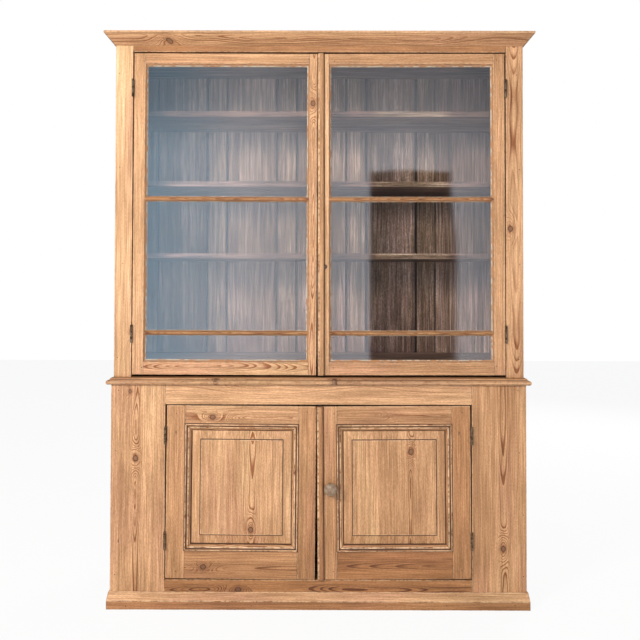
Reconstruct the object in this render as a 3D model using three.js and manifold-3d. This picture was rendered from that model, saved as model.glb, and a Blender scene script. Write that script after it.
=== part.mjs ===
// A two-part glazed pantry cabinet in pine: a shelved upper case with a pair of glazed doors stands on
// a base cupboard with a pair of raised-panel doors.
// Millimetres. X runs to the right, Y to the back and Z up; the origin is the middle of the footprint.
import * as THREE from "three";
import { mergeVertices } from "three/addons/utils/BufferGeometryUtils.js";
import Module from "manifold-3d";

const wasm = await Module();
wasm.setup();

// ---------------------------------------------------------------- overall sizes
const totalHeight = 2100;
const lowerWidth = 1508;
const lowerDepth = 400;
const upperSideInset = 2; // the upper case's sides stand this far inside the lower one's
const upperSetBack = 25; // the upper case's face stands this far behind the lower one's

// ---------------------------------------------------------------- boards and fits
const sideThick = 20;
const frameThick = 22; // face frames and doors
const boardThick = 21; // shelves, tops and bottoms
const backThick = 12;
const dadoDepth = 6;
const seam = 0.3; // the gap left at a glued or nailed joint
const veeDepth = 3; // the bevelled joint between two back planks

// ---------------------------------------------------------------- plinth, waist and cornice
const plinthHeight = 62.5;
const plinthFaceHeight = 31; // below the long bevel
const plinthProjection = 10;
const plinthTopProjection = 4;
const waistLevel = 807.5; // top of the base cupboard's carcase
const waistThick = 24;
const waistProjection = 16;
const waistNoseRadius = 8.5;
const waistStep = 4;
const waistNoseSteps = 6;
const corniceHeight = 46;
const corniceProjection = 36;
const corniceFillet = 8;
const corniceBackHeight = 30; // glued to the case, up from the cornice's lower edge
const corniceTopWidth = 22;

// ---------------------------------------------------------------- face frames
const lowerStileWidth = 197;
const lowerTopRailHeight = 71.5;
const lowerBottomRailTop = 104;
const lowerBottomRailHeight = 70;
const upperStileWidth = 63;
const upperRailShow = 22; // of the top rail, below the cornice
const caseTopBelowTop = 20;

// ---------------------------------------------------------------- upper case fittings
const floorAboveWaist = 61.5; // the upper case's floor, over the waist board
const ceilingAboveRail = 7; // the ceiling's underside, over the lower edge of the top rail
const upperShelfLevels = [0.33, 0.5695, 0.803]; // undersides, as shares of the height inside
const upperShelfSetBack = 90; // behind the upper case's face
const plankPair = 291; // one wide and one narrow back plank
const narrowPlank = 83;
const firstJoint = -469;

// ---------------------------------------------------------------- base cupboard fittings
const lowerFloorBelowRail = 2; // below the bottom rail's upper edge
const lowerShelfLevel = 0.5;
const lowerShelfSetBack = 60;
const lowerPlank = 186;

// ---------------------------------------------------------------- doors
const hingeGap = 3.4; // between a door and its stile
const upperTopGap = 5;
const lowerTopGap = 3;
const lowerBottomGap = 1.2; // under the free side of a lower door
const upperBottomGap = 8; // between the waist board and the free side of an upper door
const meetingEdge = -3.5; // the right-hand doors' free edge
const meetingTopGap = 1.4; // between the two leaves, at their closest
const upperSag = THREE.MathUtils.degToRad(0.12); // worn hinges let each free side drop a little
const lowerSag = THREE.MathUtils.degToRad(0.4);

const upperHingeStile = 49; // widths to the edge of the glass that shows
const upperLeftMeetingStile = 36.5;
const upperRightMeetingStile = 49;
const upperDoorTopRail = 46;
const upperDoorBottomRail = 55;
const glassLip = 8; // the rebate's lip behind the glass
const rebateDepth = 9;
const glassThick = 3;
const barWidth = 14;
const barLevels = [0.091, 0.546]; // as shares of the glass's height

const lowerHingeStile = 68;
const lowerLeftMeetingStile = 64;
const lowerRightMeetingStile = 73;
const lowerDoorTopRail = 67;
const lowerDoorBottomRail = 101;
const mouldingWidth = 24;
const mouldingProud = 5;
const mouldingLap = 3; // over the frame's face
const grooveDepth = 10;
const panelTongue = 6;
const panelFaceDepth = 10; // of the panel's edge behind the door's face
const panelMargin = 32; // the sloping border of the raised field
const fieldRise = 7; // of the field above the panel's edge
const fieldStep = 2.5;

const beadWidth = 25.5;
const beadProud = 11;
const beadSteps = 10;

// ---------------------------------------------------------------- ironmongery
const hingeLength = 66;
const leafThick = 1.1;
const knuckleRadius = 4.5;
const knuckleStandOff = 0.4; // between the knuckles and the faces of the door and stile
const pinRadius = 2.2;
const pinClearance = 0.35;
const knuckleCount = 5;
const knuckleClearance = 0.5;
const upperHingeFromTop = 129;
const upperHingeFromBottom = 150;
const lowerHingeFromTop = 108;
const lowerHingeFromBottom = 136;

const knobLevel = 331; // above the lower door's bottom edge
const knobRadius = 24;
const knobReach = 42;
const spindleRadius = 5.6;
const spindleClearance = 0.7;
const catchLength = 80;
const catchWidth = 16;
const catchThick = 8;

const keyholeBesideBead = 0.5;
const keyholeLevel = 398; // above the upper door's bottom edge
const escutcheonHalfWidth = 8.5;
const escutcheonHalfHeight = 11;
const escutcheonThick = 2;
const keyholeRadius = 2.6;
const lockInset = 3.5; // from the right-hand door's free edge
const lockWidth = 42;
const lockHeight = 60;
const lockThick = 12;
const lockBoltWidth = 27;
const lockBoltHeight = 13;
const lockBoltThick = 6;
const slideClearance = 0.4;

const boltWidth = 10;
const boltThick = 6;
const boltLength = 112;
const boltInset = 19; // from the left door's free edge
const boltBelowTop = 7;
const boltGripRadius = 4;
const boltGripLength = 9;

// ---------------------------------------------------------------- derived places
const lowerHalf = lowerWidth / 2;
const upperHalf = lowerHalf - upperSideInset;
const upperFace = upperSetBack;
const upperBase = waistLevel + waistThick;
const caseTop = totalHeight - caseTopBelowTop;
const corniceBase = totalHeight - corniceHeight;
const lowerOpeningHalf = lowerHalf - lowerStileWidth;
const upperOpeningHalf = upperHalf - upperStileWidth;
const lowerRailEdge = waistLevel - lowerTopRailHeight;
const upperRailEdge = corniceBase - upperRailShow;
const backFront = lowerDepth - backThick;
const upperFloor = upperBase + floorAboveWaist;
const upperCeiling = upperRailEdge + ceilingAboveRail;
const lowerFloor = lowerBottomRailTop - lowerFloorBelowRail;
const beadEdge = meetingEdge + beadWidth;
const knobX = (beadEdge + meetingEdge + lowerRightMeetingStile) / 2;
const keyholeX = beadEdge + keyholeBesideBead;
const lockLeft = meetingEdge + lockInset;

// ---------------------------------------------------------------- colours
const pine = { color: 0xcf9a5c, roughness: 0.55, metalness: 0 };
const stainedPine = { color: 0x5d4038, roughness: 0.7, metalness: 0 };
const clearGlass = { color: 0xb9c4c6, roughness: 0.05, metalness: 0, transparent: true, opacity: 0.35 };
const iron = { color: 0x4b443c, roughness: 0.5, metalness: 0.8 };
const wornBeech = { color: 0x8f7759, roughness: 0.6, metalness: 0 };

// ================================================================ geometry tools

// A box between two values along each axis.
function board(x0, x1, y0, y1, z0, z1) {
  const box = new THREE.BoxGeometry(x1 - x0, y1 - y0, z1 - z0);
  return box.translate((x0 + x1) / 2, (y0 + y1) / 2, (z0 + z1) / 2);
}

// A geometry from corner points and triangles, turned so that its faces point outwards.
function closedBody(points, triangles) {
  let volume = 0;
  for (const [a, b, c] of triangles) {
    volume += points[a].dot(points[b].clone().cross(points[c]));
  }
  const turned = volume < 0 ? triangles.map(([a, b, c]) => [a, c, b]) : triangles;
  const geometry = new THREE.BufferGeometry().setFromPoints(points);
  return geometry.setIndex(turned.flat());
}

// A solid swept from one placing of a flat outline to another, with both ends closed.
function run(outline, placeStart, placeEnd) {
  const count = outline.length;
  const points = [...outline.map(placeStart), ...outline.map(placeEnd)];
  const triangles = [];
  const cap = THREE.ShapeUtils.triangulateShape(outline, []);
  const ccw = THREE.ShapeUtils.isClockWise(outline) ? -1 : 1;
  for (const [a, b, c] of cap) {
    triangles.push([a, c, b], [a + count, b + count, c + count]);
  }
  for (let i = 0; i < count; i += 1) {
    const j = (i + 1) % count;
    const walls = [[i, j, j + count], [i, j + count, i + count]];
    triangles.push(...(ccw > 0 ? walls : walls.map(([a, b, c]) => [a, c, b])));
  }
  return closedBody(points, triangles);
}

// A band around a rectangle in the door plane: each ring is a rectangle at its own depth, and the
// last ring joins the first.
function rectangularBand(rings) {
  const points = rings.flatMap(({ x0, x1, z0, z1, y }) => [
    new THREE.Vector3(x0, y, z0),
    new THREE.Vector3(x1, y, z0),
    new THREE.Vector3(x1, y, z1),
    new THREE.Vector3(x0, y, z1),
  ]);
  return closedBody(points, ringWalls(rings.length, true));
}

// A solid stacked from rectangles, closed by its first and last.
function stackedRectangles(corners) {
  const triangles = ringWalls(corners.length, false);
  const last = (corners.length - 1) * 4;
  triangles.push([0, 2, 1], [0, 3, 2]);
  triangles.push([last, last + 1, last + 2], [last, last + 2, last + 3]);
  return closedBody(corners.flat(), triangles);
}

// The walls between rings of four corners.
function ringWalls(count, joined) {
  const triangles = [];
  for (let ring = 0; ring < (joined ? count : count - 1); ring += 1) {
    const here = ring * 4;
    const next = ((ring + 1) % count) * 4;
    for (let i = 0; i < 4; i += 1) {
      const j = (i + 1) % 4;
      triangles.push([here + i, here + j, next + j], [here + i, next + j, next + i]);
    }
  }
  return triangles;
}

// A rectangle grown on all sides, at a depth.
function grown(rect, by, y) {
  return { x0: rect.x0 - by, x1: rect.x1 + by, z0: rect.z0 - by, z1: rect.z1 + by, y };
}

function solid(geometry) {
  const bare = geometry.index ? geometry.toNonIndexed() : geometry.clone();
  bare.deleteAttribute("normal");
  bare.deleteAttribute("uv");
  const merged = mergeVertices(bare, 1e-4);
  const mesh = new wasm.Mesh({
    numProp: 3,
    vertProperties: merged.attributes.position.array,
    triVerts: new Uint32Array(merged.index.array),
  });
  return new wasm.Manifold(mesh);
}

function surface(body) {
  const mesh = body.getMesh();
  const geometry = new THREE.BufferGeometry();
  geometry.setAttribute("position", new THREE.BufferAttribute(mesh.vertProperties, 3));
  return geometry.setIndex(new THREE.BufferAttribute(mesh.triVerts, 1));
}

function cut(geometry, tools) {
  return surface(tools.reduce((body, tool) => body.subtract(solid(tool)), solid(geometry)));
}

function join(first, ...others) {
  return surface(others.reduce((body, other) => body.add(solid(other)), solid(first)));
}

// A round bar along Z or Y, centred on a point.
function uprightBar(radius, x, y, z0, z1, sides) {
  const bar = new THREE.CylinderGeometry(radius, radius, z1 - z0, sides);
  return bar.rotateX(Math.PI / 2).translate(x, y, (z0 + z1) / 2);
}

function levelBar(radius, x, z, y0, y1, sides) {
  const bar = new THREE.CylinderGeometry(radius, radius, y1 - y0, sides);
  return bar.translate(x, (y0 + y1) / 2, z);
}

const cabinet = new THREE.Group();
const model = new THREE.Group();
cabinet.add(model);

function place(name, geometry, finish, parent = model) {
  const mesh = new THREE.Mesh(geometry, new THREE.MeshStandardMaterial(finish));
  mesh.name = name;
  parent.add(mesh);
}

// ================================================================ mouldings

// A section around three sides of a case, mitred at the front corners: its points are a distance
// out from the case and a height.
function threeSidedMoulding(name, section, half, face, finish) {
  const outline = section.map(([out, z]) => new THREE.Vector2(out, z));
  const mitre = seam / 2;
  place(
    `${name}_front`,
    run(
      outline,
      (p) => new THREE.Vector3(-half - p.x + mitre, face - p.x, p.y),
      (p) => new THREE.Vector3(half + p.x - mitre, face - p.x, p.y),
    ),
    finish,
  );
  for (const [side, sign] of [["left", -1], ["right", 1]]) {
    place(
      `${name}_${side}`,
      run(
        outline,
        (p) => new THREE.Vector3(sign * (half + p.x), face - p.x + mitre, p.y),
        (p) => new THREE.Vector3(sign * (half + p.x), lowerDepth, p.y),
      ),
      finish,
    );
  }
}

const plinthSection = [
  [seam, 0],
  [plinthProjection, 0],
  [plinthProjection, plinthFaceHeight],
  [plinthTopProjection, plinthHeight],
  [seam, plinthHeight],
];
threeSidedMoulding("plinth", plinthSection, lowerHalf, 0, pine);

const corniceSection = [
  [seam, corniceBase],
  [corniceProjection - 1.5, totalHeight - corniceFillet],
  [corniceProjection, totalHeight - corniceFillet],
  [corniceProjection, totalHeight],
  [corniceProjection - corniceTopWidth, totalHeight],
  [seam, corniceBase + corniceBackHeight],
];
threeSidedMoulding("cornice", corniceSection, upperHalf, upperFace, pine);

// The waist board's edge, from below: a round nose, a step back and a thin upright lip.
function waistBoard() {
  const noseOut = waistProjection - waistNoseRadius;
  const edge = [];
  for (let i = 0; i <= waistNoseSteps; i += 1) {
    const turn = -Math.PI / 2 + (Math.PI * i) / waistNoseSteps;
    const out = noseOut + waistNoseRadius * Math.cos(turn);
    edge.push([out, waistLevel + seam + waistNoseRadius * (1 + Math.sin(turn))]);
  }
  edge.push([waistStep, waistLevel + seam + 2 * waistNoseRadius + 0.6]);
  edge.push([waistStep - 1, upperBase]);
  return stackedRectangles(
    edge.map(([out, z]) => [
      new THREE.Vector3(-lowerHalf - out, -out, z),
      new THREE.Vector3(lowerHalf + out, -out, z),
      new THREE.Vector3(lowerHalf + out, lowerDepth, z),
      new THREE.Vector3(-lowerHalf - out, lowerDepth, z),
    ]),
  );
}
place("waist_board", waistBoard(), pine);

// ================================================================ carcases

// A case side with a groove across its inner face for each board that it carries.
function caseSide(sign, half, face, z0, z1, carried) {
  const inner = half - sideThick;
  const span = (a, b) => (sign < 0 ? [-b, -a] : [a, b]);
  const plain = board(...span(inner, half), face + frameThick + seam, lowerDepth, z0, z1);
  const grooves = carried.map(({ bottom, front }) =>
    board(
      ...span(inner - 1, inner + dadoDepth),
      front - seam,
      lowerDepth + 1,
      bottom - seam,
      bottom + boardThick + seam,
    ),
  );
  return cut(plain, grooves);
}

// A shelf, floor or ceiling let into both sides.
function carriedBoard(half, { bottom, front }) {
  const reach = half - sideThick + dadoDepth - seam;
  return board(-reach, reach, front, backFront - seam, bottom, bottom + boardThick);
}

// The planks of a back, side by side, with a bevelled joint at each place given.
function plankBack(half, z0, z1, joints) {
  const reach = half - sideThick - seam;
  const outline = [new THREE.Vector2(-reach, lowerDepth), new THREE.Vector2(-reach, backFront)];
  for (const x of joints.filter((joint) => Math.abs(joint) < reach - 2 * veeDepth)) {
    outline.push(new THREE.Vector2(x - veeDepth, backFront));
    outline.push(new THREE.Vector2(x, backFront + veeDepth));
    outline.push(new THREE.Vector2(x + veeDepth, backFront));
  }
  outline.push(new THREE.Vector2(reach, backFront), new THREE.Vector2(reach, lowerDepth));
  return run(
    outline,
    (p) => new THREE.Vector3(p.x, p.y, z0),
    (p) => new THREE.Vector3(p.x, p.y, z1),
  );
}

const upperBoardFront = upperFace + frameThick + seam;
const upperInside = upperCeiling - upperFloor;
const upperShelves = upperShelfLevels.map((share) => ({
  bottom: upperFloor + share * upperInside,
  front: upperFace + upperShelfSetBack,
}));
const upperFloorBoard = { bottom: upperFloor - boardThick, front: upperBoardFront };
const upperCeilingBoard = { bottom: upperCeiling, front: upperBoardFront };
const upperCarried = [upperFloorBoard, ...upperShelves, upperCeilingBoard];

for (const [side, sign] of [["left", -1], ["right", 1]]) {
  const z0 = upperBase + seam;
  place(`upper_side_${side}`, caseSide(sign, upperHalf, upperFace, z0, caseTop, upperCarried), pine);
}
place("upper_top_board", carriedBoard(upperHalf, upperCeilingBoard), stainedPine);
place("upper_bottom_board", carriedBoard(upperHalf, upperFloorBoard), stainedPine);
upperShelves.forEach((shelf, i) => {
  place(`upper_shelf_${i + 1}`, carriedBoard(upperHalf, shelf), stainedPine);
});

const upperJoints = [];
for (let x = firstJoint; x < upperHalf; x += plankPair) {
  upperJoints.push(x, x + narrowPlank);
}
const leftwardJoints = [];
for (let x = firstJoint - plankPair; x > -upperHalf; x -= plankPair) {
  leftwardJoints.unshift(x, x + narrowPlank);
}
const upperBackTop = caseTop - seam;
const allUpperJoints = [...leftwardJoints, ...upperJoints];
place("upper_back_boards", plankBack(upperHalf, upperBase + seam, upperBackTop, allUpperJoints), stainedPine);

const lowerBoardFront = frameThick + seam;
const lowerFloorBoard = { bottom: lowerFloor - boardThick, front: lowerBoardFront };
const lowerInside = waistLevel - lowerFloor;
const lowerShelf = {
  bottom: lowerFloor + lowerShelfLevel * lowerInside - boardThick / 2,
  front: lowerShelfSetBack,
};
const lowerCarried = [lowerFloorBoard, lowerShelf];
for (const [side, sign] of [["left", -1], ["right", 1]]) {
  place(`lower_side_${side}`, caseSide(sign, lowerHalf, 0, 0, waistLevel, lowerCarried), pine);
}
place("lower_bottom_board", carriedBoard(lowerHalf, lowerFloorBoard), stainedPine);
place("lower_shelf", carriedBoard(lowerHalf, lowerShelf), stainedPine);
const lowerJoints = [];
const lowerReach = lowerHalf - sideThick;
const lowerPlanks = Math.round((2 * lowerReach) / lowerPlank);
for (let i = 1; i < lowerPlanks; i += 1) {
  lowerJoints.push(-lowerReach + (2 * lowerReach * i) / lowerPlanks);
}
const lowerBackBase = lowerFloor - boardThick - lowerBottomRailHeight / 2;
place("lower_back_boards", plankBack(lowerHalf, lowerBackBase, waistLevel, lowerJoints), stainedPine);

// ================================================================ face frames

function faceFrame(name, half, stileWidth, face, z0, z1) {
  const back = face + frameThick;
  for (const [side, x0] of [["left", -half], ["right", half - stileWidth]]) {
    place(`${name}_stile_${side}`, board(x0, x0 + stileWidth, face, back, z0, z1), pine);
  }
}

function frameRail(name, openingHalf, face, z0, z1) {
  const reach = openingHalf - seam;
  place(name, board(-reach, reach, face, face + frameThick, z0, z1), pine);
}

faceFrame("lower", lowerHalf, lowerStileWidth, 0, 0, waistLevel);
frameRail("lower_top_rail", lowerOpeningHalf, 0, lowerRailEdge, waistLevel);
frameRail(
  "lower_bottom_rail",
  lowerOpeningHalf,
  0,
  lowerBottomRailTop - lowerBottomRailHeight,
  lowerBottomRailTop,
);
faceFrame("upper", upperHalf, upperStileWidth, upperFace, upperBase + seam, caseTop);
frameRail("upper_top_rail", upperOpeningHalf, upperFace, upperRailEdge, caseTop);

// ================================================================ hinges

// One butt hinge: the case leaf carries the pin, and the door leaf turns on it. Sign is -1 on the left.
function hinge(name, sign, openingHalf, face, middle) {
  const axisX = sign * (openingHalf - hingeGap / 2);
  const axisY = face - knuckleRadius - knuckleStandOff;
  const z0 = middle - hingeLength / 2;
  const pitch = hingeLength / knuckleCount;
  const leafBack = face + frameThick - 4;
  // Each leaf lies beside its own wood: towards the case or towards the middle.
  const span = (from, to) => (sign < 0 ? [-to, -from] : [from, to]);
  const sides = {
    case: span(openingHalf - seam - leafThick, openingHalf - seam),
    door: span(openingHalf - hingeGap + seam, openingHalf - hingeGap + seam + leafThick),
  };
  const pin = uprightBar(pinRadius, axisX, axisY, z0, z0 + hingeLength, 14);
  const bore = uprightBar(pinRadius + pinClearance, axisX, axisY, z0 - 1, z0 + hingeLength + 1, 14);
  for (const [part, leafX] of Object.entries(sides)) {
    const own = part === "case" ? 0 : 1;
    const pieces = [];
    for (let k = own; k < knuckleCount; k += 2) {
      const low = z0 + k * pitch + (k === 0 ? 0 : knuckleClearance / 2);
      const high = z0 + (k + 1) * pitch - (k === knuckleCount - 1 ? 0 : knuckleClearance / 2);
      pieces.push(uprightBar(knuckleRadius, axisX, axisY, low, high, 18));
      pieces.push(board(...leafX, axisY, face + 1, low, high));
    }
    const plate = board(...leafX, face, leafBack, z0, z0 + hingeLength);
    const leaf = join(plate, ...pieces);
    const whole = part === "case" ? join(leaf, pin) : cut(leaf, [bore]);
    place(`${name}_hinge_${part}_leaf`, whole, iron);
  }
}

// ================================================================ doors

// A group whose contents drop by a small angle about a point in the door plane.
function hungGroup(pivotX, pivotZ, angle) {
  const turned = new THREE.Group();
  turned.position.set(pivotX, 0, pivotZ);
  turned.rotation.y = angle;
  const contents = new THREE.Group();
  contents.position.set(-pivotX, 0, -pivotZ);
  turned.add(contents);
  model.add(turned);
  return contents;
}

// The two outlines of a leaf: its outer edge and the opening between its members. A dropped pair of
// leaves lean towards each other above their lower hinges, so the gap between them allows for that.
function doorOutlines(sign, openingHalf, z0, z1, sag, hingeLow, members) {
  const lean = 2 * (z1 - hingeLow) * Math.tan(sag);
  const free = sign < 0 ? meetingEdge - meetingTopGap - lean : meetingEdge;
  const hung = sign * (openingHalf - hingeGap);
  const outer = { x0: Math.min(free, hung), x1: Math.max(free, hung), z0, z1 };
  const left = sign < 0 ? members.hinge : members.meeting;
  const right = sign < 0 ? members.meeting : members.hinge;
  const inner = {
    x0: outer.x0 + left,
    x1: outer.x1 - right,
    z0: z0 + members.bottom,
    z1: z1 - members.top,
  };
  return { outer, inner, free };
}

// A half-round bead planted along the free edge of a right-hand leaf.
function meetingBead(face, z0, z1) {
  const half = beadWidth / 2;
  const outline = [];
  for (let i = 0; i <= beadSteps; i += 1) {
    const turn = Math.PI - (Math.PI * i) / beadSteps;
    const x = meetingEdge + half + half * Math.cos(turn);
    outline.push(new THREE.Vector2(x, face - seam - beadProud * Math.sin(turn)));
  }
  return run(
    outline,
    (p) => new THREE.Vector3(p.x, p.y, z0),
    (p) => new THREE.Vector3(p.x, p.y, z1),
  );
}

// A flat bolt with a round finger grip, which slides up behind the rail over its door.
function slidingBolt(free, doorBack, doorTop) {
  const x = free - boltInset;
  const y0 = doorBack + 2 * seam;
  const z1 = doorTop - boltBelowTop;
  const z0 = z1 - boltLength;
  const bar = board(x - boltWidth / 2, x + boltWidth / 2, y0, y0 + boltThick, z0, z1);
  const gripZ = z0 + boltWidth;
  const grip = levelBar(boltGripRadius, x, gripZ, y0 + 1, y0 + boltThick + boltGripLength, 14);
  return join(bar, grip);
}

// How far the free side of a leaf hangs below its hinged side.
function sideDrop(openingHalf, sag) {
  return (openingHalf - hingeGap - meetingEdge) * Math.tan(sag);
}

// ---------------------------------------------------------------- glazed doors
const upperDoorBottom = upperBase + upperBottomGap + sideDrop(upperOpeningHalf, upperSag);
const upperDoorTop = upperRailEdge - upperTopGap;
const glassY = upperFace + rebateDepth;

function glazedFrame(outer, inner) {
  const rebate = grown(inner, glassLip, glassY);
  const frame = rectangularBand([
    { ...outer, y: upperFace },
    { ...outer, y: upperFace + frameThick },
    { ...inner, y: upperFace + frameThick },
    { ...inner, y: glassY + glassThick + 2 * seam },
    { ...rebate, y: glassY + glassThick + 2 * seam },
    { ...rebate, y: upperFace },
  ]);
  const bars = barLevels.map((share) => {
    const z = inner.z0 + share * (inner.z1 - inner.z0);
    const x0 = rebate.x0 - 1;
    const x1 = rebate.x1 + 1;
    return board(x0, x1, upperFace, glassY, z - barWidth / 2, z + barWidth / 2);
  });
  return join(frame, ...bars);
}

function glazedDoor(side, sign) {
  const members = {
    hinge: upperHingeStile,
    meeting: sign < 0 ? upperLeftMeetingStile : upperRightMeetingStile,
    bottom: upperDoorBottomRail,
    top: upperDoorTopRail,
  };
  const hingeLow = upperDoorBottom + upperHingeFromBottom;
  const hingeHigh = upperDoorTop - upperHingeFromTop;
  const outlines = doorOutlines(
    sign,
    upperOpeningHalf,
    upperDoorBottom,
    upperDoorTop,
    upperSag,
    hingeLow,
    members,
  );
  const { outer, inner, free } = outlines;
  const pivotX = sign * (upperOpeningHalf - hingeGap);
  const door = hungGroup(pivotX, hingeLow, -sign * upperSag);
  place(`upper_${side}_door_frame`, glazedFrame(outer, inner), pine, door);
  const pane = grown(inner, glassLip - 2 * seam, 0);
  place(
    `upper_${side}_glass`,
    board(pane.x0, pane.x1, glassY + seam, glassY + seam + glassThick, pane.z0, pane.z1),
    clearGlass,
    door,
  );
  hinge(`upper_${side}_lower`, sign, upperOpeningHalf, upperFace, hingeLow);
  hinge(`upper_${side}_higher`, sign, upperOpeningHalf, upperFace, hingeHigh);
  return { door, free };
}

const doorBackUpper = upperFace + frameThick;
const leftGlazed = glazedDoor("left", -1);
place(
  "upper_left_bolt",
  slidingBolt(leftGlazed.free, doorBackUpper, upperDoorTop),
  iron,
  leftGlazed.door,
);

const rightGlazed = glazedDoor("right", 1);
const keyholeZ = upperDoorBottom + keyholeLevel;
const keyholePlace = new THREE.Vector2(keyholeX, keyholeZ);

// A diamond in the door plane, between two depths.
function diamond(halfWidth, halfHeight, y0, y1) {
  const outline = [
    new THREE.Vector2(-halfWidth, 0),
    new THREE.Vector2(0, -halfHeight),
    new THREE.Vector2(halfWidth, 0),
    new THREE.Vector2(0, halfHeight),
  ].map((p) => p.add(keyholePlace));
  return run(
    outline,
    (p) => new THREE.Vector3(p.x, y0, p.y),
    (p) => new THREE.Vector3(p.x, y1, p.y),
  );
}

const plateBack = upperFace - seam;
const notch = diamond(
  escutcheonHalfWidth + 2 * seam,
  escutcheonHalfHeight + 2 * seam,
  upperFace - 2 * beadProud,
  upperFace + 1,
);
const upperBead = meetingBead(upperFace, upperDoorBottom, upperDoorTop);
place("upper_meeting_bead", cut(upperBead, [notch]), pine, rightGlazed.door);
const keyhole = levelBar(keyholeRadius, keyholeX, keyholeZ, plateBack - 9, plateBack + 1, 12);
const plate = diamond(
  escutcheonHalfWidth,
  escutcheonHalfHeight,
  plateBack - escutcheonThick,
  plateBack,
);
place("escutcheon", cut(plate, [keyhole]), iron, rightGlazed.door);

const lockY0 = doorBackUpper + seam;
const lockMiddle = lockY0 + lockThick / 2;
const boltX0 = lockLeft + 2 * seam;
const lockBody = board(
  lockLeft,
  lockLeft + lockWidth,
  lockY0,
  lockY0 + lockThick,
  keyholeZ - lockHeight / 2,
  keyholeZ + lockHeight / 2,
);
const lockChannel = board(
  lockLeft - 1,
  boltX0 + lockBoltWidth + slideClearance,
  lockMiddle - lockBoltThick / 2 - slideClearance,
  lockMiddle + lockBoltThick / 2 + slideClearance,
  keyholeZ - lockBoltHeight / 2 - slideClearance,
  keyholeZ + lockBoltHeight / 2 + slideClearance,
);
place("lock_case", cut(lockBody, [lockChannel]), iron, rightGlazed.door);
place(
  "lock_bolt",
  board(
    boltX0,
    boltX0 + lockBoltWidth,
    lockMiddle - lockBoltThick / 2,
    lockMiddle + lockBoltThick / 2,
    keyholeZ - lockBoltHeight / 2,
    keyholeZ + lockBoltHeight / 2,
  ),
  iron,
  rightGlazed.door,
);

// ---------------------------------------------------------------- panelled doors
const lowerDoorBottom = lowerBottomRailTop + lowerBottomGap + sideDrop(lowerOpeningHalf, lowerSag);
const lowerDoorTop = lowerRailEdge - lowerTopGap;
const knobZ = lowerDoorBottom + knobLevel;

// A frame with a groove for the panel and a moulding that laps the frame's face and the panel.
function panelledFrame(outer, inner) {
  const groove = grown(inner, grooveDepth, 0);
  const sight = grown(inner, -mouldingWidth, 0);
  const grooveBack = panelFaceDepth + panelTongue + seam;
  const mouldingProfile = [
    [mouldingWidth, panelFaceDepth - seam],
    [mouldingWidth, panelFaceDepth - 3],
    [mouldingWidth - 3, 4.5],
    [mouldingWidth - 9, 3.2],
    [mouldingWidth - 14, 0],
    [mouldingWidth - 17, -mouldingProud + 1.5],
    [mouldingWidth - 21, -mouldingProud],
    [mouldingWidth - 24, -mouldingProud],
    [-mouldingLap, -mouldingProud + 2],
    [-mouldingLap, 0],
  ];
  return rectangularBand([
    { ...outer, y: 0 },
    { ...outer, y: frameThick },
    { ...inner, y: frameThick },
    { ...inner, y: grooveBack },
    { ...groove, y: grooveBack },
    { ...groove, y: panelFaceDepth - seam },
    { ...sight, y: panelFaceDepth - seam },
    ...mouldingProfile.slice(1).map(([inward, y]) => grown(inner, -inward, y)),
  ]);
}

function raisedPanel(inner) {
  const edge = grooveDepth - 2 * seam;
  const front = panelFaceDepth;
  const rings = [
    grown(inner, edge, front + panelTongue - seam),
    grown(inner, edge, front),
    grown(inner, -mouldingWidth, front),
    grown(inner, -mouldingWidth - panelMargin, front - fieldRise + fieldStep),
    grown(inner, -mouldingWidth - panelMargin - 1, front - fieldRise),
  ];
  return stackedRectangles(
    rings.map(({ x0, x1, z0, z1, y }) => [
      new THREE.Vector3(x0, y, z0),
      new THREE.Vector3(x1, y, z0),
      new THREE.Vector3(x1, y, z1),
      new THREE.Vector3(x0, y, z1),
    ]),
  );
}

function panelledDoor(side, sign, holes) {
  const members = {
    hinge: lowerHingeStile,
    meeting: sign < 0 ? lowerLeftMeetingStile : lowerRightMeetingStile,
    bottom: lowerDoorBottomRail,
    top: lowerDoorTopRail,
  };
  const hingeLow = lowerDoorBottom + lowerHingeFromBottom;
  const hingeHigh = lowerDoorTop - lowerHingeFromTop;
  const outlines = doorOutlines(
    sign,
    lowerOpeningHalf,
    lowerDoorBottom,
    lowerDoorTop,
    lowerSag,
    hingeLow,
    members,
  );
  const { outer, inner, free } = outlines;
  const pivotX = sign * (lowerOpeningHalf - hingeGap);
  const door = hungGroup(pivotX, hingeLow, -sign * lowerSag);
  const frame = panelledFrame(outer, inner);
  place(`lower_${side}_door_frame`, holes.length ? cut(frame, holes) : frame, pine, door);
  place(`lower_${side}_panel`, raisedPanel(inner), pine, door);
  hinge(`lower_${side}_lower`, sign, lowerOpeningHalf, 0, hingeLow);
  hinge(`lower_${side}_higher`, sign, lowerOpeningHalf, 0, hingeHigh);
  return { door, free };
}

const leftPanelled = panelledDoor("left", -1, []);
place(
  "lower_left_bolt",
  slidingBolt(leftPanelled.free, frameThick, lowerDoorTop),
  iron,
  leftPanelled.door,
);

const spindleHole = levelBar(spindleRadius + spindleClearance, knobX, knobZ, -1, frameThick + 1, 20);
const rightPanelled = panelledDoor("right", 1, [spindleHole]);
place(
  "lower_meeting_bead",
  meetingBead(0, lowerDoorBottom, lowerDoorTop),
  pine,
  rightPanelled.door,
);

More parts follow.
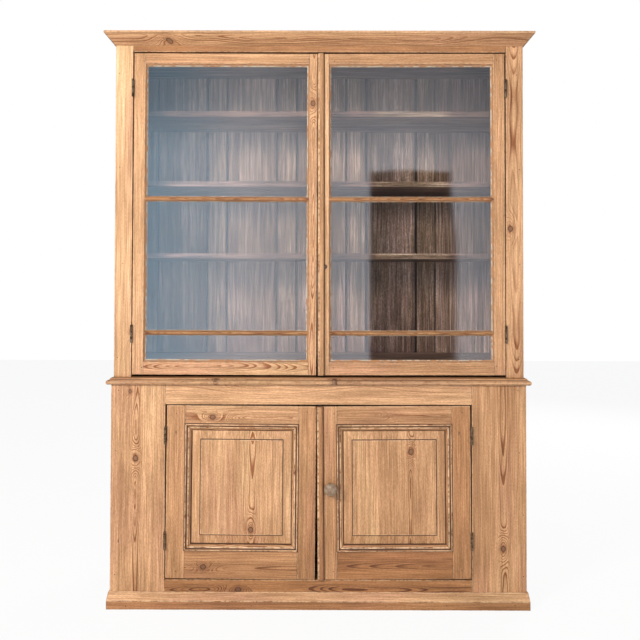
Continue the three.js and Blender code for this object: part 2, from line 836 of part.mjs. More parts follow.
// A turned knob on a spindle that passes through the stile: radius and distance in front of it.
const catchY0 = frameThick + 2 * seam;
const spindleEnd = catchY0 + catchThick;
const knobProfile = [
  [0, -spindleEnd],
  [spindleRadius, -spindleEnd],
  [spindleRadius, 2 * seam],
  [13, 2 * seam],
  [14, 4],
  [10.5, 8],
  [10.5, 12],
  [16, 16],
  [knobRadius - 2, 21],
  [knobRadius, 27],
  [knobRadius - 2, 33],
  [knobRadius - 7, 38],
  [9, knobReach - 1],
  [0, knobReach],
].map(([radius, out]) => new THREE.Vector2(radius, out));
const knobShape = new THREE.LatheGeometry(knobProfile, 28);
const knobGeometry = closedLathe(knobShape);
place("knob", knobGeometry, wornBeech, rightPanelled.door);

// A lathe's seam and poles merged, standing out from the door's face at the knob's place.
function closedLathe(lathe) {
  const turned = lathe.rotateX(Math.PI).translate(knobX, 0, knobZ);
  return surface(solid(turned));
}

const catchBar = board(
  knobX - catchWidth / 2,
  knobX + catchWidth / 2,
  catchY0,
  catchY0 + catchThick,
  knobZ - catchWidth,
  knobZ + catchLength,
);
const catchEye = levelBar(
  spindleRadius + seam,
  knobX,
  knobZ,
  catchY0 - 1,
  catchY0 + catchThick + 1,
  20,
);
place("turn_catch", cut(catchBar, [catchEye]), iron, rightPanelled.door);

// ================================================================ origin
// The whole model is centred on its own box in X and Y, and stands on Z = 0.
cabinet.updateMatrixWorld(true);
const extent = new THREE.Box3().setFromObject(cabinet);
const middle = extent.getCenter(new THREE.Vector3());
model.position.set(-middle.x, -middle.y, -extent.min.z);

export default cabinet;
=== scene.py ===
import math
import random

import bpy
from mathutils import Matrix, Vector, noise


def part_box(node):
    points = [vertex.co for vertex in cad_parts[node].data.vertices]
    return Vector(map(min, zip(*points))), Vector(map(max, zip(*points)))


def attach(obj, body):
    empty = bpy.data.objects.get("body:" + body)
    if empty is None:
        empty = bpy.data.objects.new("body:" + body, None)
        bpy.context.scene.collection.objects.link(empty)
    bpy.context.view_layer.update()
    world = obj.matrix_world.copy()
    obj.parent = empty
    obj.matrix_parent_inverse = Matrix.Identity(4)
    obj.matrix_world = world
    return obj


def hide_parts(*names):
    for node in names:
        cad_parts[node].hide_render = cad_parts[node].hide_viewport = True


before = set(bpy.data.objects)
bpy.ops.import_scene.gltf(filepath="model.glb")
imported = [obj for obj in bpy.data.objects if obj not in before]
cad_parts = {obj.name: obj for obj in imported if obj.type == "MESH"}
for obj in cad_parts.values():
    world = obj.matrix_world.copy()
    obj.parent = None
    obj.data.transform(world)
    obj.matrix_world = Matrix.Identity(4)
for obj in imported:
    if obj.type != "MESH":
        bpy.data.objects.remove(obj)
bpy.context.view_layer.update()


# ---------------------------------------------------------------- the room
# A plain white room: a pale floor, a wall of soft lamps in front of the cabinet and one brighter
# lamp high on the left. The camera stands level with the glazed doors' bottom rails.
scene = bpy.context.scene
scene.view_settings.view_transform = "Standard"
lower_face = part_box("lower_stile_left")[0].y
camera_distance = 2.618
camera_height = 1.1517
camera_aside = 0.0075
camera_pitch, camera_roll, camera_turn = 1.054, -0.127, 0.1

camera = bpy.data.objects.new("camera", bpy.data.cameras.new("camera"))
camera.data.sensor_width = 36
camera.data.lens = 40.436
camera.data.shift_x = 0.0006
camera.data.shift_y = -0.0672
camera.location = (camera_aside, lower_face - camera_distance, camera_height)
camera.rotation_euler = [math.radians(angle) for angle in (90 + camera_pitch, camera_roll, camera_turn)]
scene.collection.objects.link(camera)
scene.camera = camera


def display(*levels):
    """A colour as it is read off a screen, red, green and blue from 0 to 255, made linear."""
    shares = [level / 255 for level in levels]
    return (*(s / 12.92 if s <= 0.04045 else ((s + 0.055) / 1.055) ** 2.4 for s in shares), 1)


def add(tree, kind, inputs=None, **settings):
    """A node with its settings, and its inputs linked or set; gives its outputs by number and name."""
    node = tree.nodes.new(kind)
    for key, value in settings.items():
        setattr(node, key, value)
    for key, value in (inputs or {}).items():
        if isinstance(value, Flow):
            tree.links.new(value.socket, node.inputs[key])
        else:
            node.inputs[key].default_value = value
    outputs = {socket.name: Flow(socket) for socket in node.outputs}
    return outputs | {i: Flow(socket) for i, socket in enumerate(node.outputs)}


class Flow:
    """A number, place or colour that runs through a node tree, so that sums can be written plainly."""

    def __init__(self, socket):
        self.socket = socket
        self.tree = socket.id_data

    def maths(self, operation, *others):
        return add(self.tree, "ShaderNodeMath", dict(enumerate((self, *others))), operation=operation)[0]

    def __add__(self, other):
        return self.maths("ADD", other)

    def __sub__(self, other):
        return self.maths("SUBTRACT", other)

    def __mul__(self, other):
        return self.maths("MULTIPLY", other)

    def __truediv__(self, other):
        return self.maths("DIVIDE", other)

    def __rsub__(self, other):
        return self * -1.0 + other

    def between(self, low, high, out_low=0.0, out_high=1.0):
        """Its eased climb from a low mark to a high one, as a share or in another range."""
        marks = {0: self, 1: low, 2: high, 3: out_low, 4: out_high}
        return add(self.tree, "ShaderNodeMapRange", marks, interpolation_type="SMOOTHSTEP")[0]

    def mix(self, first, second):
        """The first colour where it is 0, the second where it is 1."""
        return add(self.tree, "ShaderNodeMix", {0: self, 6: first, 7: second}, data_type="RGBA")[2]

    def tinted(self, tint):
        """This colour multiplied by another."""
        return add(self.tree, "ShaderNodeMix", {0: 1.0, 6: self, 7: tint}, data_type="RGBA",
                   blend_type="MULTIPLY")[2]

    def split(self, kind="XYZ"):
        parts = add(self.tree, f"ShaderNodeSeparate{kind}", {0: self})
        return parts[0], parts[1], parts[2]


def cleared(owner):
    """The node tree of a world or a material, emptied."""
    owner.use_nodes = True
    owner.node_tree.nodes.clear()
    return owner.node_tree


def new_material(name):
    material = bpy.data.materials.new(name)
    return material, cleared(material)


def mixed(tree, share, first, second):
    return add(tree, "ShaderNodeMixShader", {0: share, 1: first, 2: second})[0]


def own_place(tree):
    return add(tree, "ShaderNodeTexCoord")["Object"]


scene.world = bpy.data.worlds.new("white_room")
tree = cleared(scene.world)
rays = add(tree, "ShaderNodeLightPath")
around, mirrored, seen = (add(tree, "ShaderNodeBackground", {0: colour, 1: strength})[0]
                          for colour, strength in (((0.9, 0.95, 1, 1), 0.36), ((0.85, 0.92, 1, 1), 0.13),
                                                   ((1, 1, 1, 1), 1.0)))
glassy = rays["Is Glossy Ray"].maths("MAXIMUM", rays["Is Transmission Ray"])
dull = mixed(tree, glassy, around, mirrored)
add(tree, "ShaderNodeOutputWorld", {0: mixed(tree, rays["Is Camera Ray"], dull, seen)})


def flat_sheet(name, corners, material):
    """A single flat face of the room round the cabinet."""
    mesh = bpy.data.meshes.new(name)
    mesh.from_pydata(corners, [], [(0, 1, 2, 3)])
    mesh.materials.append(material)
    sheet = bpy.data.objects.new(name, mesh)
    scene.collection.objects.link(sheet)
    return sheet


# The glowing wall that the panes mirror is bluer on the left and has a dark doorway on the right.
glow, tree = new_material("glowing_wall")
wall_x, _, wall_z = own_place(tree).split()
tint = wall_x.between(-1.7, -0.5).mix((0.55, 0.79, 1.0, 1), (0.86, 0.90, 1.0, 1))
doorway = wall_x.between(0.44, 0.52) * wall_x.between(1.22, 1.32, 1.0, 0.0)
doorway = doorway * wall_z.between(2.24, 2.30, 1.0, 0.0)
level = wall_z.between(2.35, 3.1, 2.55, 1.45) * wall_x.between(0.8, 2.2, 1.0, 0.62)
level = level * wall_x.between(-0.8, 0.1, 1.45, 1.0) * (1 - doorway * 0.96)
add(tree, "ShaderNodeOutputMaterial", {0: add(tree, "ShaderNodeEmission", {0: tint, 1: level})[0]})
wall_y, wall_half, wall_foot, wall_top = -4.2, 4.4, 0.02, 4.6
wall = flat_sheet("lamp_wall", [(x, wall_y, z) for x, z in ((-wall_half, wall_foot), (wall_half, wall_foot),
                                                            (wall_half, wall_top), (-wall_half, wall_top))], glow)
for unseen in ("camera", "diffuse", "shadow", "volume_scatter"):
    setattr(wall, f"visible_{unseen}", False)


def soft_lamp(name, place, towards, size, power, colour):
    """A square soft lamp that gives light but isn't seen mirrored."""
    light = bpy.data.lights.new(name, "AREA")
    light.size = size
    light.energy = power
    light.color = colour
    lamp = bpy.data.objects.new(name, light)
    lamp.location = place
    lamp.rotation_euler = (Vector(towards) - Vector(place)).to_track_quat("-Z", "Y").to_euler()
    for unseen in ("camera", "glossy", "transmission"):
        setattr(lamp, f"visible_{unseen}", False)
    scene.collection.objects.link(lamp)


soft_lamp("key", (-2.7, -3.6, 2.9), (0.1, 0, 1.05), 1.1, 178, (1.0, 0.96, 0.91))
soft_lamp("fill", (0.6, -4.4, 2.2), (0, 0, 1.0), 3.0, 78, (1.0, 0.97, 0.94))
soft_lamp("rear", (2.8, 3.6, 2.6), (0, 0, 1.0), 2.0, 120, (1.0, 0.98, 0.95))

floor_reach = 9
pale, tree = new_material("pale_floor")
share = add(tree, "ShaderNodeLightPath")["Is Camera Ray"] * 0.92
matt = add(tree, "ShaderNodeBsdfDiffuse", {0: (0.80, 0.80, 0.79, 1)})[0]
bright = add(tree, "ShaderNodeEmission", {0: (1, 1, 1, 1), 1: 1.0})[0]
add(tree, "ShaderNodeOutputMaterial", {0: mixed(tree, share, matt, bright)})
flat_sheet("floor", [(x * floor_reach, y * floor_reach, 0) for x, y in ((-1, -1), (1, -1), (1, 1), (-1, 1))], pale)


# ---------------------------------------------------------------- base cupboard's sides
# One wide pine board each side, grain upright, planed and waxed, with its arrises rubbed round.
# They are nailed behind the face frame and carry the floor and the shelf in grooves.
arris = 0.0011
shoulder = 0.004
fade = 0.013
joint_line = 0.0022
hair = 0.0002
across_x, rearwards, upwards = Vector((1, 0, 0)), Vector((0, 1, 0)), Vector((0, 0, 1))


def rounded(corners, radius=arris, crest=0.8):
    """An outline with its corners rubbed round, as points (across, depth, nearness to an arris)."""
    outline = []
    beside = ((fade, 0), (shoulder, 0.4))
    for i, corner in enumerate(corners):
        here = Vector(corner)
        before = Vector(corners[i - 1]) - here
        after = Vector(corners[(i + 1) % len(corners)]) - here
        cut = min(radius, before.length * 0.3, after.length * 0.3)
        start, end = here + before.normalized() * cut, here + after.normalized() * cut
        outline += [(*(here + before.normalized() * reach), edge) for reach, edge in beside
                    if before.length > 2.2 * reach]
        outline += [(*point, crest) for point in (start, (start + end) / 4 + here / 2, end)]
        outline += [(*(here + after.normalized() * reach), edge) for reach, edge in beside[::-1]
                    if after.length > 2.2 * reach]
    return outline


class Stock:
    """Lengths of wood or iron gathered into one piece, each with its grain, tone and arrises."""

    def __init__(self):
        self.points, self.faces = [], []
        self.grain, self.board, self.edge, self.tone = [], [], [], []

    def point(self, where, grain, board, edge, tone):
        self.points.append(where)
        self.grain.append(grain)
        self.board.append(board)
        self.edge.append(edge)
        self.tone.append(tone)

    def length(self, outline, start, along, across, depth, long, knot=(0.5, 0.5), tone=0.5,
               mitres=(0, 0), ends=0, wear=0.0004, step=0.035, seed=None):
        """A length of wood: an outline of (across, depth, edge) carried from a starting point."""
        seed = len(self.points) * 0.37 + start.x * 7 + start.z * 3 if seed is None else seed
        number = random.Random(round(seed * 1000)).random()
        flat = [Vector(point[:2]) for point in outline]
        count = len(flat)
        middle = sum(flat, Vector((0, 0))) / count
        area = sum(p.cross(q) for p, q in zip(flat, flat[1:] + flat[:1]))
        turned = along.dot(across.cross(depth)) * area > 0
        near_end = [(0.0, ends, 0.8), (ends, 0, 0.8), (ends + shoulder, 0, 0.4)]
        if not ends:
            near_end = [(0.0, 0, -0.8), (joint_line, 0, 0)]
        if long > 2.4 * (ends + fade):
            near_end.append((ends + fade, 0, 0))
        clear = long - 2 * near_end[-1][0]
        spans = max(1, round(clear / step))
        stations = near_end + [(near_end[-1][0] + clear * i / spans, 0, 0) for i in range(1, spans)]
        stations += [(long - w, inset, edge) for w, inset, edge in reversed(near_end)]
        first = len(self.points)
        low = Vector((min(p.x for p in flat), min(p.y for p in flat)))
        size = Vector((max(p.x for p in flat), max(p.y for p in flat))) - low

        def place(point, w, edge, inset):
            moved = point.copy()
            if inset:
                moved = middle + (point - middle) * (1 - 2 * inset / max(0.004, min(size)))
            if edge > 0.7 and wear:
                rub = noise.noise(Vector((w * 11, point.x * 90 + number * 40, point.y * 90)))
                moved += (middle - moved).normalized() * wear * max(0.0, rub + 0.25)
            skew = mitres[0] * point.y * (1 - w / long) + mitres[1] * point.y * (w / long)
            self.point(start + across * moved.x + depth * moved.y + along * (w + skew),
                       (point.x - low.x - knot[0] * size.x, point.y - middle.y, w - knot[1] * long),
                       number, edge, tone)

        for w, inset, end_edge in stations:
            for point, (_, _, edge) in zip(flat, outline):
                darker = min(edge, end_edge)
                place(point, w, darker if darker < 0 else max(edge, end_edge), inset)
        pairs = [(i, (i + 1) % count) for i in range(count)]
        for base in range(first, first + (len(stations) - 1) * count, count):
            for i, j in pairs:
                face = (base + i, base + j, base + count + j, base + count + i)
                self.faces.append(face if turned else face[::-1])
        for ring, flip in ((0, False), (len(stations) - 1, True)):
            base, inner = first + ring * count, len(self.points)
            for point in flat:
                place(middle + (point - middle) * 0.86, stations[ring][0], 0.3 if ends else -0.8, stations[ring][1])
            for i, j in pairs:
                face = (base + i, inner + i, inner + j, base + j)
                self.faces.append(face if turned != flip else face[::-1])
            cap = tuple(range(inner, inner + count))
            self.faces.append(cap[::-1] if turned != flip else cap)

    def board_between(self, low, high, along, across, **settings):
        """A plain board filling a box, its grain along one axis and its width along another."""
        axes = (across_x, rearwards, upwards)
        depth = 3 - along - across
        size = high - low
        outline = [(0, 0), (size[across], 0), (size[across], size[depth]), (0, size[depth])]
        settings.setdefault("ends", arris)
        self.length(rounded(outline), low.copy(), axes[along], axes[across], axes[depth], size[along], **settings)

    def stack(self, loops):
        """Walls between like loops of points, each (base, count), and a face over the first and the last."""
        for (base, count), (above, _) in zip(loops, loops[1:]):
            for i in range(count):
                j = (i + 1) % count
                self.faces.append((base + i, base + j, above + j, above + i))
        (base, count), (last, _) = loops[0], loops[-1]
        self.faces += [tuple(range(base + count - 1, base - 1, -1)), tuple(range(last, last + count))]

    def piece(self, name, material, turn=None):
        """The gathered wood as one object, turned about the door's hinges where it hangs on them."""
        mesh = bpy.data.meshes.new(name)
        mesh.from_pydata([turn @ p for p in self.points] if turn else self.points, [], self.faces)
        grain = mesh.attributes.new("grain", "FLOAT_VECTOR", "POINT")
        grain.data.foreach_set("vector", [x for place in self.grain for x in place])
        for label, values in (("board", self.board), ("edge", self.edge), ("tone", self.tone)):
            mesh.attributes.new(label, "FLOAT", "POINT").data.foreach_set("value", values)
        return finish_mesh(name, mesh, material)


def finish_mesh(name, mesh, material, smooth_angle=50):
    mesh.validate()
    mesh.polygons.foreach_set("use_smooth", [True] * len(mesh.polygons))
    mesh.set_sharp_from_angle(angle=math.radians(smooth_angle))
    if material is not None:
        mesh.materials.append(material)
    piece = bpy.data.objects.new(name, mesh)
    scene.collection.objects.link(piece)
    return piece


def hold(piece, body, slot, *nodes):
    """Says what the piece rides on, and hides the plain solids that it stands for. Its finish, the slot, is not used.
    """
    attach(piece, body)
    if nodes:
        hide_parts(*nodes)


def new_group(name, inputs, outputs, kind="Shader"):
    """An empty node group with its named inputs and outputs; gives it and its inputs."""
    tree = bpy.data.node_groups.new(name, f"{kind}NodeTree")
    for way, sockets in (("INPUT", inputs), ("OUTPUT", outputs)):
        for label, what in sockets.items():
            tree.interface.new_socket(label, in_out=way, socket_type=f"NodeSocket{what}")
    return tree, add(tree, "NodeGroupInput")


def clouds(tree, place, scale, detail, roughness=0.5):
    return add(tree, "ShaderNodeTexNoise", {"Vector": place, "Scale": scale, "Detail": detail,
                                            "Roughness": roughness})


def sawn_pine_group():
    """The figure of a sawn pine board: yearly rings about a pith that wanders, knots and fibres."""
    tree, given = new_group("sawn_pine", {
        "Grain": "Vector", "Board": "Float", "Tone": "Float", "Pale spring wood": "Color",
        "Deep spring wood": "Color", "Pale summer wood": "Color", "Deep summer wood": "Color",
        "Ring width": "Float", "Figure": "Float", "Knots": "Float", "Streaks": "Float"},
        {"Colour": "Color", "Relief": "Float"})
    across, depth, along = given["Grain"].split()
    board, tone = given["Board"], given["Tone"]
    drift = add(tree, "ShaderNodeCombineXYZ", {0: board * 37.0, 1: board * 91.0, 2: board * 53.0})[0]

    def spread(*stretch):
        """A place along the grain, stretched and moved for each board."""
        scaled = add(tree, "ShaderNodeVectorMath", {0: given["Grain"], 1: stretch}, operation="MULTIPLY")[0]
        return add(tree, "ShaderNodeVectorMath", {0: scaled, 1: drift}, operation="ADD")[0]

    # The pith lies a little behind the board, so that the saw cuts long ovals and straight lines.
    slow = clouds(tree, spread(2.0, 2.0, 1.5), 1.0, 2.0)["Color"].split("Color")
    wobble = clouds(tree, spread(16.0, 16.0, 3.2), 1.0, 3.0)["Fac"]
    swing = clouds(tree, spread(0.0, 0.0, 1.9), 1.0, 0.5)["Fac"]
    tilt = (board * 7.31).maths("FRACT") * 0.03 - 0.015
    side = across - (slow[0] * 0.03 - 0.015)
    down = depth + (swing * 0.10 + slow[1] * 0.05 - 0.056 + tilt * along)
    radius = (side * side + down * down).maths("SQRT")

    def knot_here(aside, up, size):
        """The swell of the rings round a knot, and how far its eye is, in sizes of its own."""
        wide, tall, oval = aside / 0.017, up / 0.050, up / 1.25
        swell = ((wide * wide + tall * tall) * -1.0).maths("EXPONENT")
        return swell, (aside * aside + oval * oval).maths("SQRT") / size

    ragged = clouds(tree, spread(90.0, 90.0, 60.0), 1.0, 2.0)["Fac"] * 0.006 - 0.003
    swell, eye = knot_here(across + ragged, along, 0.0072)
    cell_across, cell_along = 8.0, 2.8
    stretched = spread(cell_across, 0.0, cell_along)
    cells = add(tree, "ShaderNodeTexVoronoi", {"Vector": stretched, "Scale": 1.0})
    chosen = cells["Color"].split("Color")
    grows = chosen[0].maths("LESS_THAN", given["Knots"])
    offset = add(tree, "ShaderNodeVectorMath", {0: stretched, 1: cells["Position"]}, operation="SUBTRACT")[0].split()
    other_swell, other_eye = knot_here(offset[0] / cell_across + ragged, offset[2] / cell_along,
                                       chosen[1] * 0.0052 + 0.0026)
    swell = swell + other_swell * grows * 0.75
    eye = eye.maths("MINIMUM", other_eye + (1 - grows) * 50.0)

    # Each year's ring starts soft and pale and ends in a hard dark line, bolder over the pith.
    count = (radius + swell * 0.026 + wobble * 0.0046) / given["Ring width"]
    uneven = add(tree, "ShaderNodeTexNoise", {"W": count * 0.21 + board * 80.0, "Scale": 1.0, "Detail": 1.0},
                 noise_dimensions="1D")["Fac"]
    count = count + uneven * 3.2
    year = count.maths("FRACT")
    strength = add(tree, "ShaderNodeTexWhiteNoise", {"W": count.maths("FLOOR")}, noise_dimensions="1D")["Value"]
    rings = year.between(0.30, 0.90).maths("POWER", 1.8) * year.between(0.94, 1.0, 1.0, 0.0)
    rings = rings * (strength * 0.65 + 0.35)
    patches = clouds(tree, spread(15.0, 15.0, 1.3), 1.0, 2.0)["Fac"].between(0.34, 0.64)
    aside = side / 0.016
    core = (aside * aside * -1.0).maths("EXPONENT") * (patches * 0.75 + 0.75)
    boldness = core.maths("MAXIMUM", patches * 0.34 + 0.14).maths("MAXIMUM", swell * 1.2)
    rings = rings * boldness.maths("MINIMUM", 1.7)

    fibre = clouds(tree, spread(300.0, 300.0, 8.0), 1.0, 3.0, 0.65)["Fac"]
    streaks = clouds(tree, spread(75.0, 75.0, 1.1), 1.0, 2.0)["Fac"]
    blotch = clouds(tree, spread(8.0, 8.0, 3.0), 1.0, 4.0)["Fac"]
    grit = clouds(tree, spread(420.0, 420.0, 130.0), 1.0, 2.0)["Fac"]
    hue = clouds(tree, spread(8.0, 8.0, 1.8), 1.0, 2.0)["Color"].split("Color")
    spring, summer = (tone.mix(given[f"Pale {wood} wood"], given[f"Deep {wood} wood"])
                      for wood in ("spring", "summer"))
    spring = hue[0].between(0.52, 0.72, 0.0, 0.55).mix(spring, spring.tinted((0.92, 1.02, 0.98, 1)))
    spring = hue[1].between(0.51, 0.64, 0.0, 0.75).mix(spring, spring.tinted((0.92, 0.87, 0.94, 1)))
    colour = (rings * given["Figure"]).maths("MINIMUM", 1.0).mix(spring, summer)
    shade = fibre.between(0.30, 0.70, 0.78, 1.16) * streaks.between(0.34, 0.66, 0.89, 1.08)
    shade = shade * (blotch.between(0.30, 0.70, 0.86, 1.09) * grit.between(0.32, 0.68, 0.90, 1.09))
    shade = shade.maths("POWER", given["Streaks"])
    warmth = {0: shade, 1: shade.maths("POWER", 1.15), 2: shade.maths("POWER", 1.4)}
    colour = colour.tinted(add(tree, "ShaderNodeCombineXYZ", warmth)[0])

    # A knot has a halo, a brown ringed heart and a dark rim; small dents and holes lie all over.
    colour = eye.between(0.9, 3.6, 0.5, 0.0).mix(colour, summer)
    heart = tone.mix(display(158, 112, 74), display(112, 74, 50))
    heart = ((eye * 17.0).maths("SINE") * 0.35 + 0.35).mix(heart, display(88, 54, 36))
    colour = (eye.between(0.80, 1.05, 1.0, 0.0) * 0.9).mix(colour, heart)
    rim = eye.between(0.75, 1.0) * eye.between(1.05, 1.45, 1.0, 0.0)
    colour = (rim * 0.9).mix(colour, display(62, 36, 24))
    holes = add(tree, "ShaderNodeTexVoronoi", {"Vector": spread(24.0, 24.0, 9.0), "Scale": 1.0})
    hole = holes["Distance"].between(0.045, 0.075, 1.0, 0.0)
    hole = hole * holes["Color"].split("Color")[2].maths("LESS_THAN", 0.10)
    colour = (hole * 0.8).mix(colour, display(70, 46, 34))
    add(tree, "NodeGroupOutput", {"Colour": colour, "Relief": rings * 0.55 + fibre * 0.5 - hole * 1.5})
    return tree


def arris_wear_and_shade_group():
    """Wear on the arrises: rubbed paler on their crests, with dirt on them; beside them, in joints and recesses, a dark
    colour that is partly dirt and partly painted shade.
    """
    tree, given = new_group("arris_wear_and_shade", {
        "Colour": "Color", "Edge": "Float", "Place": "Vector", "Rubbed": "Color", "Grime and shade": "Color",
        "Wear": "Float", "Dirt": "Float"}, {"Colour": "Color", "Polish": "Float"})
    coarse = clouds(tree, given["Place"], 14.0, 4.0)["Fac"].between(0.42, 0.60)
    fine = clouds(tree, given["Place"], 85.0, 3.0)["Fac"].between(0.36, 0.56)
    sharp = given["Edge"].between(0.50, 1.0)
    crest = sharp * fine
    pale = (crest * given["Wear"]).mix(given["Colour"], given["Rubbed"])
    # Painted shade: where the edge is negative the dark colour is laid on, in dark joints and also as shade in quirks,
    # creases and on shaded sides.
    recess = given["Edge"].between(-0.1, -0.9, 0.0, 0.97)
    held = (sharp * coarse * given["Dirt"]).maths("MAXIMUM", recess)
    add(tree, "NodeGroupOutput", {"Colour": held.mix(pale, given["Grime and shade"]), "Polish": crest * 0.12})
    return tree


sawn_pine = sawn_pine_group()
arris_wear_and_shade = arris_wear_and_shade_group()


def carried(tree, name, output="Fac"):
    """A value that the piece's mesh carries."""
    return add(tree, "ShaderNodeAttribute", attribute_name=name)[output]


def surface(tree, colour, roughness, height, strength, depth, others=None):
    """The outside of a piece: its colour and gloss, and the fine relief in it."""
    bump = add(tree, "ShaderNodeBump", {"Height": height, "Strength": strength, "Distance": depth})[0]
    shader = add(tree, "ShaderNodeBsdfPrincipled", {"Base Color": colour, "Roughness": roughness, "Normal": bump,
                                                    **(others or {})})[0]
    add(tree, "ShaderNodeOutputMaterial", {0: shader})


def pine_finish(name, spring, summer, rubbed, grime_and_shade, ring_width, figure, knots, streaks, roughness, wear, dirt, relief):
    """Pine under a finish: a pale and a deep colour for the spring wood and for the summer wood."""
    material, tree = new_material(name)
    wood = add(tree, "ShaderNodeGroup", {
        "Grain": carried(tree, "grain", "Vector"), "Board": carried(tree, "board"), "Tone": carried(tree, "tone"),
        "Pale spring wood": spring[0], "Deep spring wood": spring[1], "Pale summer wood": summer[0],
        "Deep summer wood": summer[1], "Ring width": ring_width, "Figure": figure, "Knots": knots,
        "Streaks": streaks}, node_tree=sawn_pine)
    worn = add(tree, "ShaderNodeGroup", {
        "Colour": wood["Colour"], "Edge": carried(tree, "edge"), "Place": own_place(tree), "Rubbed": rubbed,
        "Grime and shade": grime_and_shade, "Wear": wear, "Dirt": dirt}, node_tree=arris_wear_and_shade)
    handled = clouds(tree, own_place(tree), 5.0, 4.0)["Fac"]
    handled = handled.between(0.30, 0.72, roughness - 0.07, roughness + 0.08) - worn["Polish"]
    surface(tree, worn["Colour"], handled, wood["Relief"], relief, 0.0006, {"Specular IOR Level": 0.38})
    return material


waxed_pine = pine_finish(
    "waxed_pine",
    spring=(display(224, 178, 134), display(160, 110, 68)),
    summer=(display(158, 96, 52), display(98, 56, 30)),
    rubbed=display(232, 198, 160), grime_and_shade=display(66, 42, 29),
    ring_width=0.0038, figure=1.4, knots=0.12, streaks=1.3, roughness=0.50, wear=0.75, dirt=0.42, relief=0.4)


def case_board(node, along, across, slot="pine", material=waxed_pine, reach=None, change=None, **settings):
    """A board of the case that fills its plain solid's box, or reaches both sides where it is let in."""
    low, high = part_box(node)
    if reach:
        low.x, high.x = -reach, reach
    wood = Stock()
    wood.board_between(low, high, along, across, **settings)
    if change:
        change(wood, low)
    name = f"{node}_board" if slot == "pine" else f"{node}_plank"
    hold(wood.piece(name, material), "case", slot, node)


for side, tone in (("left", 0.55), ("right", 0.65)):
    case_board(f"lower_side_{side}", 2, 1, knot=(0.62, 0.35), tone=tone)


# ---------------------------------------------------------------- base cupboard's floor, shelf and back
# Boards stained dark brown inside, let into grooves in the sides. The back is a row of upright
# planks with bevelled joints, nailed on from behind.
stained_pine = pine_finish(
    "stained_pine",
    spring=(display(214, 178, 144), display(97, 60, 49)),
    summer=(display(150, 112, 84), display(52, 32, 27)),
    rubbed=display(150, 116, 92), grime_and_shade=display(30, 20, 18),
    ring_width=0.0066, figure=1.2, knots=0.14, streaks=3.4, roughness=0.62, wear=0.3, dirt=0.6, relief=0.5)

lower_reach = abs(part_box("lower_side_left")[1].x)
for node, tone in (("lower_bottom_board", 0.8), ("lower_shelf", 0.7)):
    case_board(node, 0, 1, "stained_pine", stained_pine, lower_reach, knot=(0.3, 0.27), tone=tone)


def row_tree():
    """A node tree that sets copies of a piece in a straight row, each with its own small shift."""
    tree, given = new_group("row_of_like_pieces", {
        "Piece": "Geometry", "Count": "Int", "Start": "Vector", "Step": "Vector", "Jitter": "Vector",
        "Spin": "Vector", "Seed": "Int", "Finish": "Material"}, {"Row": "Geometry"}, "Geometry")
    seed = given["Seed"]
    line = add(tree, "GeometryNodeMeshLine", {"Count": given["Count"], "Start Location": given["Start"],
                                              "Offset": given["Step"]})[0]
    shift = add(tree, "FunctionNodeRandomValue", {0: (-1, -1, -1), 1: (1, 1, 1), "Seed": seed},
                data_type="FLOAT_VECTOR")[0]
    shifted = add(tree, "ShaderNodeVectorMath", {0: shift, 1: given["Jitter"]}, operation="MULTIPLY")[0]
    placed = add(tree, "GeometryNodeSetPosition", {"Geometry": line, "Offset": shifted})[0]
    counted = add(tree, "GeometryNodeStoreNamedAttribute", {
        "Geometry": placed, "Name": "member", "Value": add(tree, "GeometryNodeInputIndex")[0]},
        data_type="INT", domain="POINT")[0]
    turn = add(tree, "FunctionNodeRandomValue", {2: 0.0, 3: 1.0, "Seed": seed}, data_type="FLOAT")[1]
    spun = add(tree, "ShaderNodeVectorMath", {0: given["Spin"], "Scale": turn}, operation="SCALE")[0]
    copies = add(tree, "GeometryNodeInstanceOnPoints", {"Points": counted, "Instance": given["Piece"],
                                                        "Rotation": spun})[0]
    real = add(tree, "GeometryNodeRealizeInstances", {0: copies})[0]
    member = add(tree, "GeometryNodeInputNamedAttribute", {"Name": "member"}, data_type="INT")[0]
    own = add(tree, "FunctionNodeRandomValue", {2: 0.0, 3: 1.0, "ID": member, "Seed": seed}, data_type="FLOAT")[1]
    varied = add(tree, "GeometryNodeStoreNamedAttribute", {"Geometry": real, "Name": "board", "Value": own},
                 data_type="FLOAT", domain="POINT")[0]
    finished = add(tree, "GeometryNodeSetMaterial", {"Geometry": varied, "Material": given["Finish"]})[0]
    add(tree, "NodeGroupOutput", {0: finished})
    return tree


row_of_like_pieces = row_tree()


def in_a_row(piece, material, count, start, step, seed, jitter=(0, 0, 0), spin=(0, 0, 0)):
    """The piece repeated in a row, as one plain mesh."""
    modifier = piece.modifiers.new("row", "NODES")
    modifier.node_group = row_of_like_pieces
    values = {"Count": count, "Start": start, "Step": step, "Jitter": jitter, "Spin": spin, "Seed": seed,
              "Finish": material}
    for item in row_of_like_pieces.interface.items_tree:
        if item.item_type == "SOCKET" and item.in_out == "INPUT" and item.name in values:
            modifier[item.identifier] = values[item.name]
    evaluated = piece.evaluated_get(bpy.context.evaluated_depsgraph_get())
    mesh = bpy.data.meshes.new_from_object(evaluated)
    piece.modifiers.clear()
    piece.data = mesh
    return piece


bevel = 0.003
foot_painted_shade = 0.2
foot_reach = 0.35


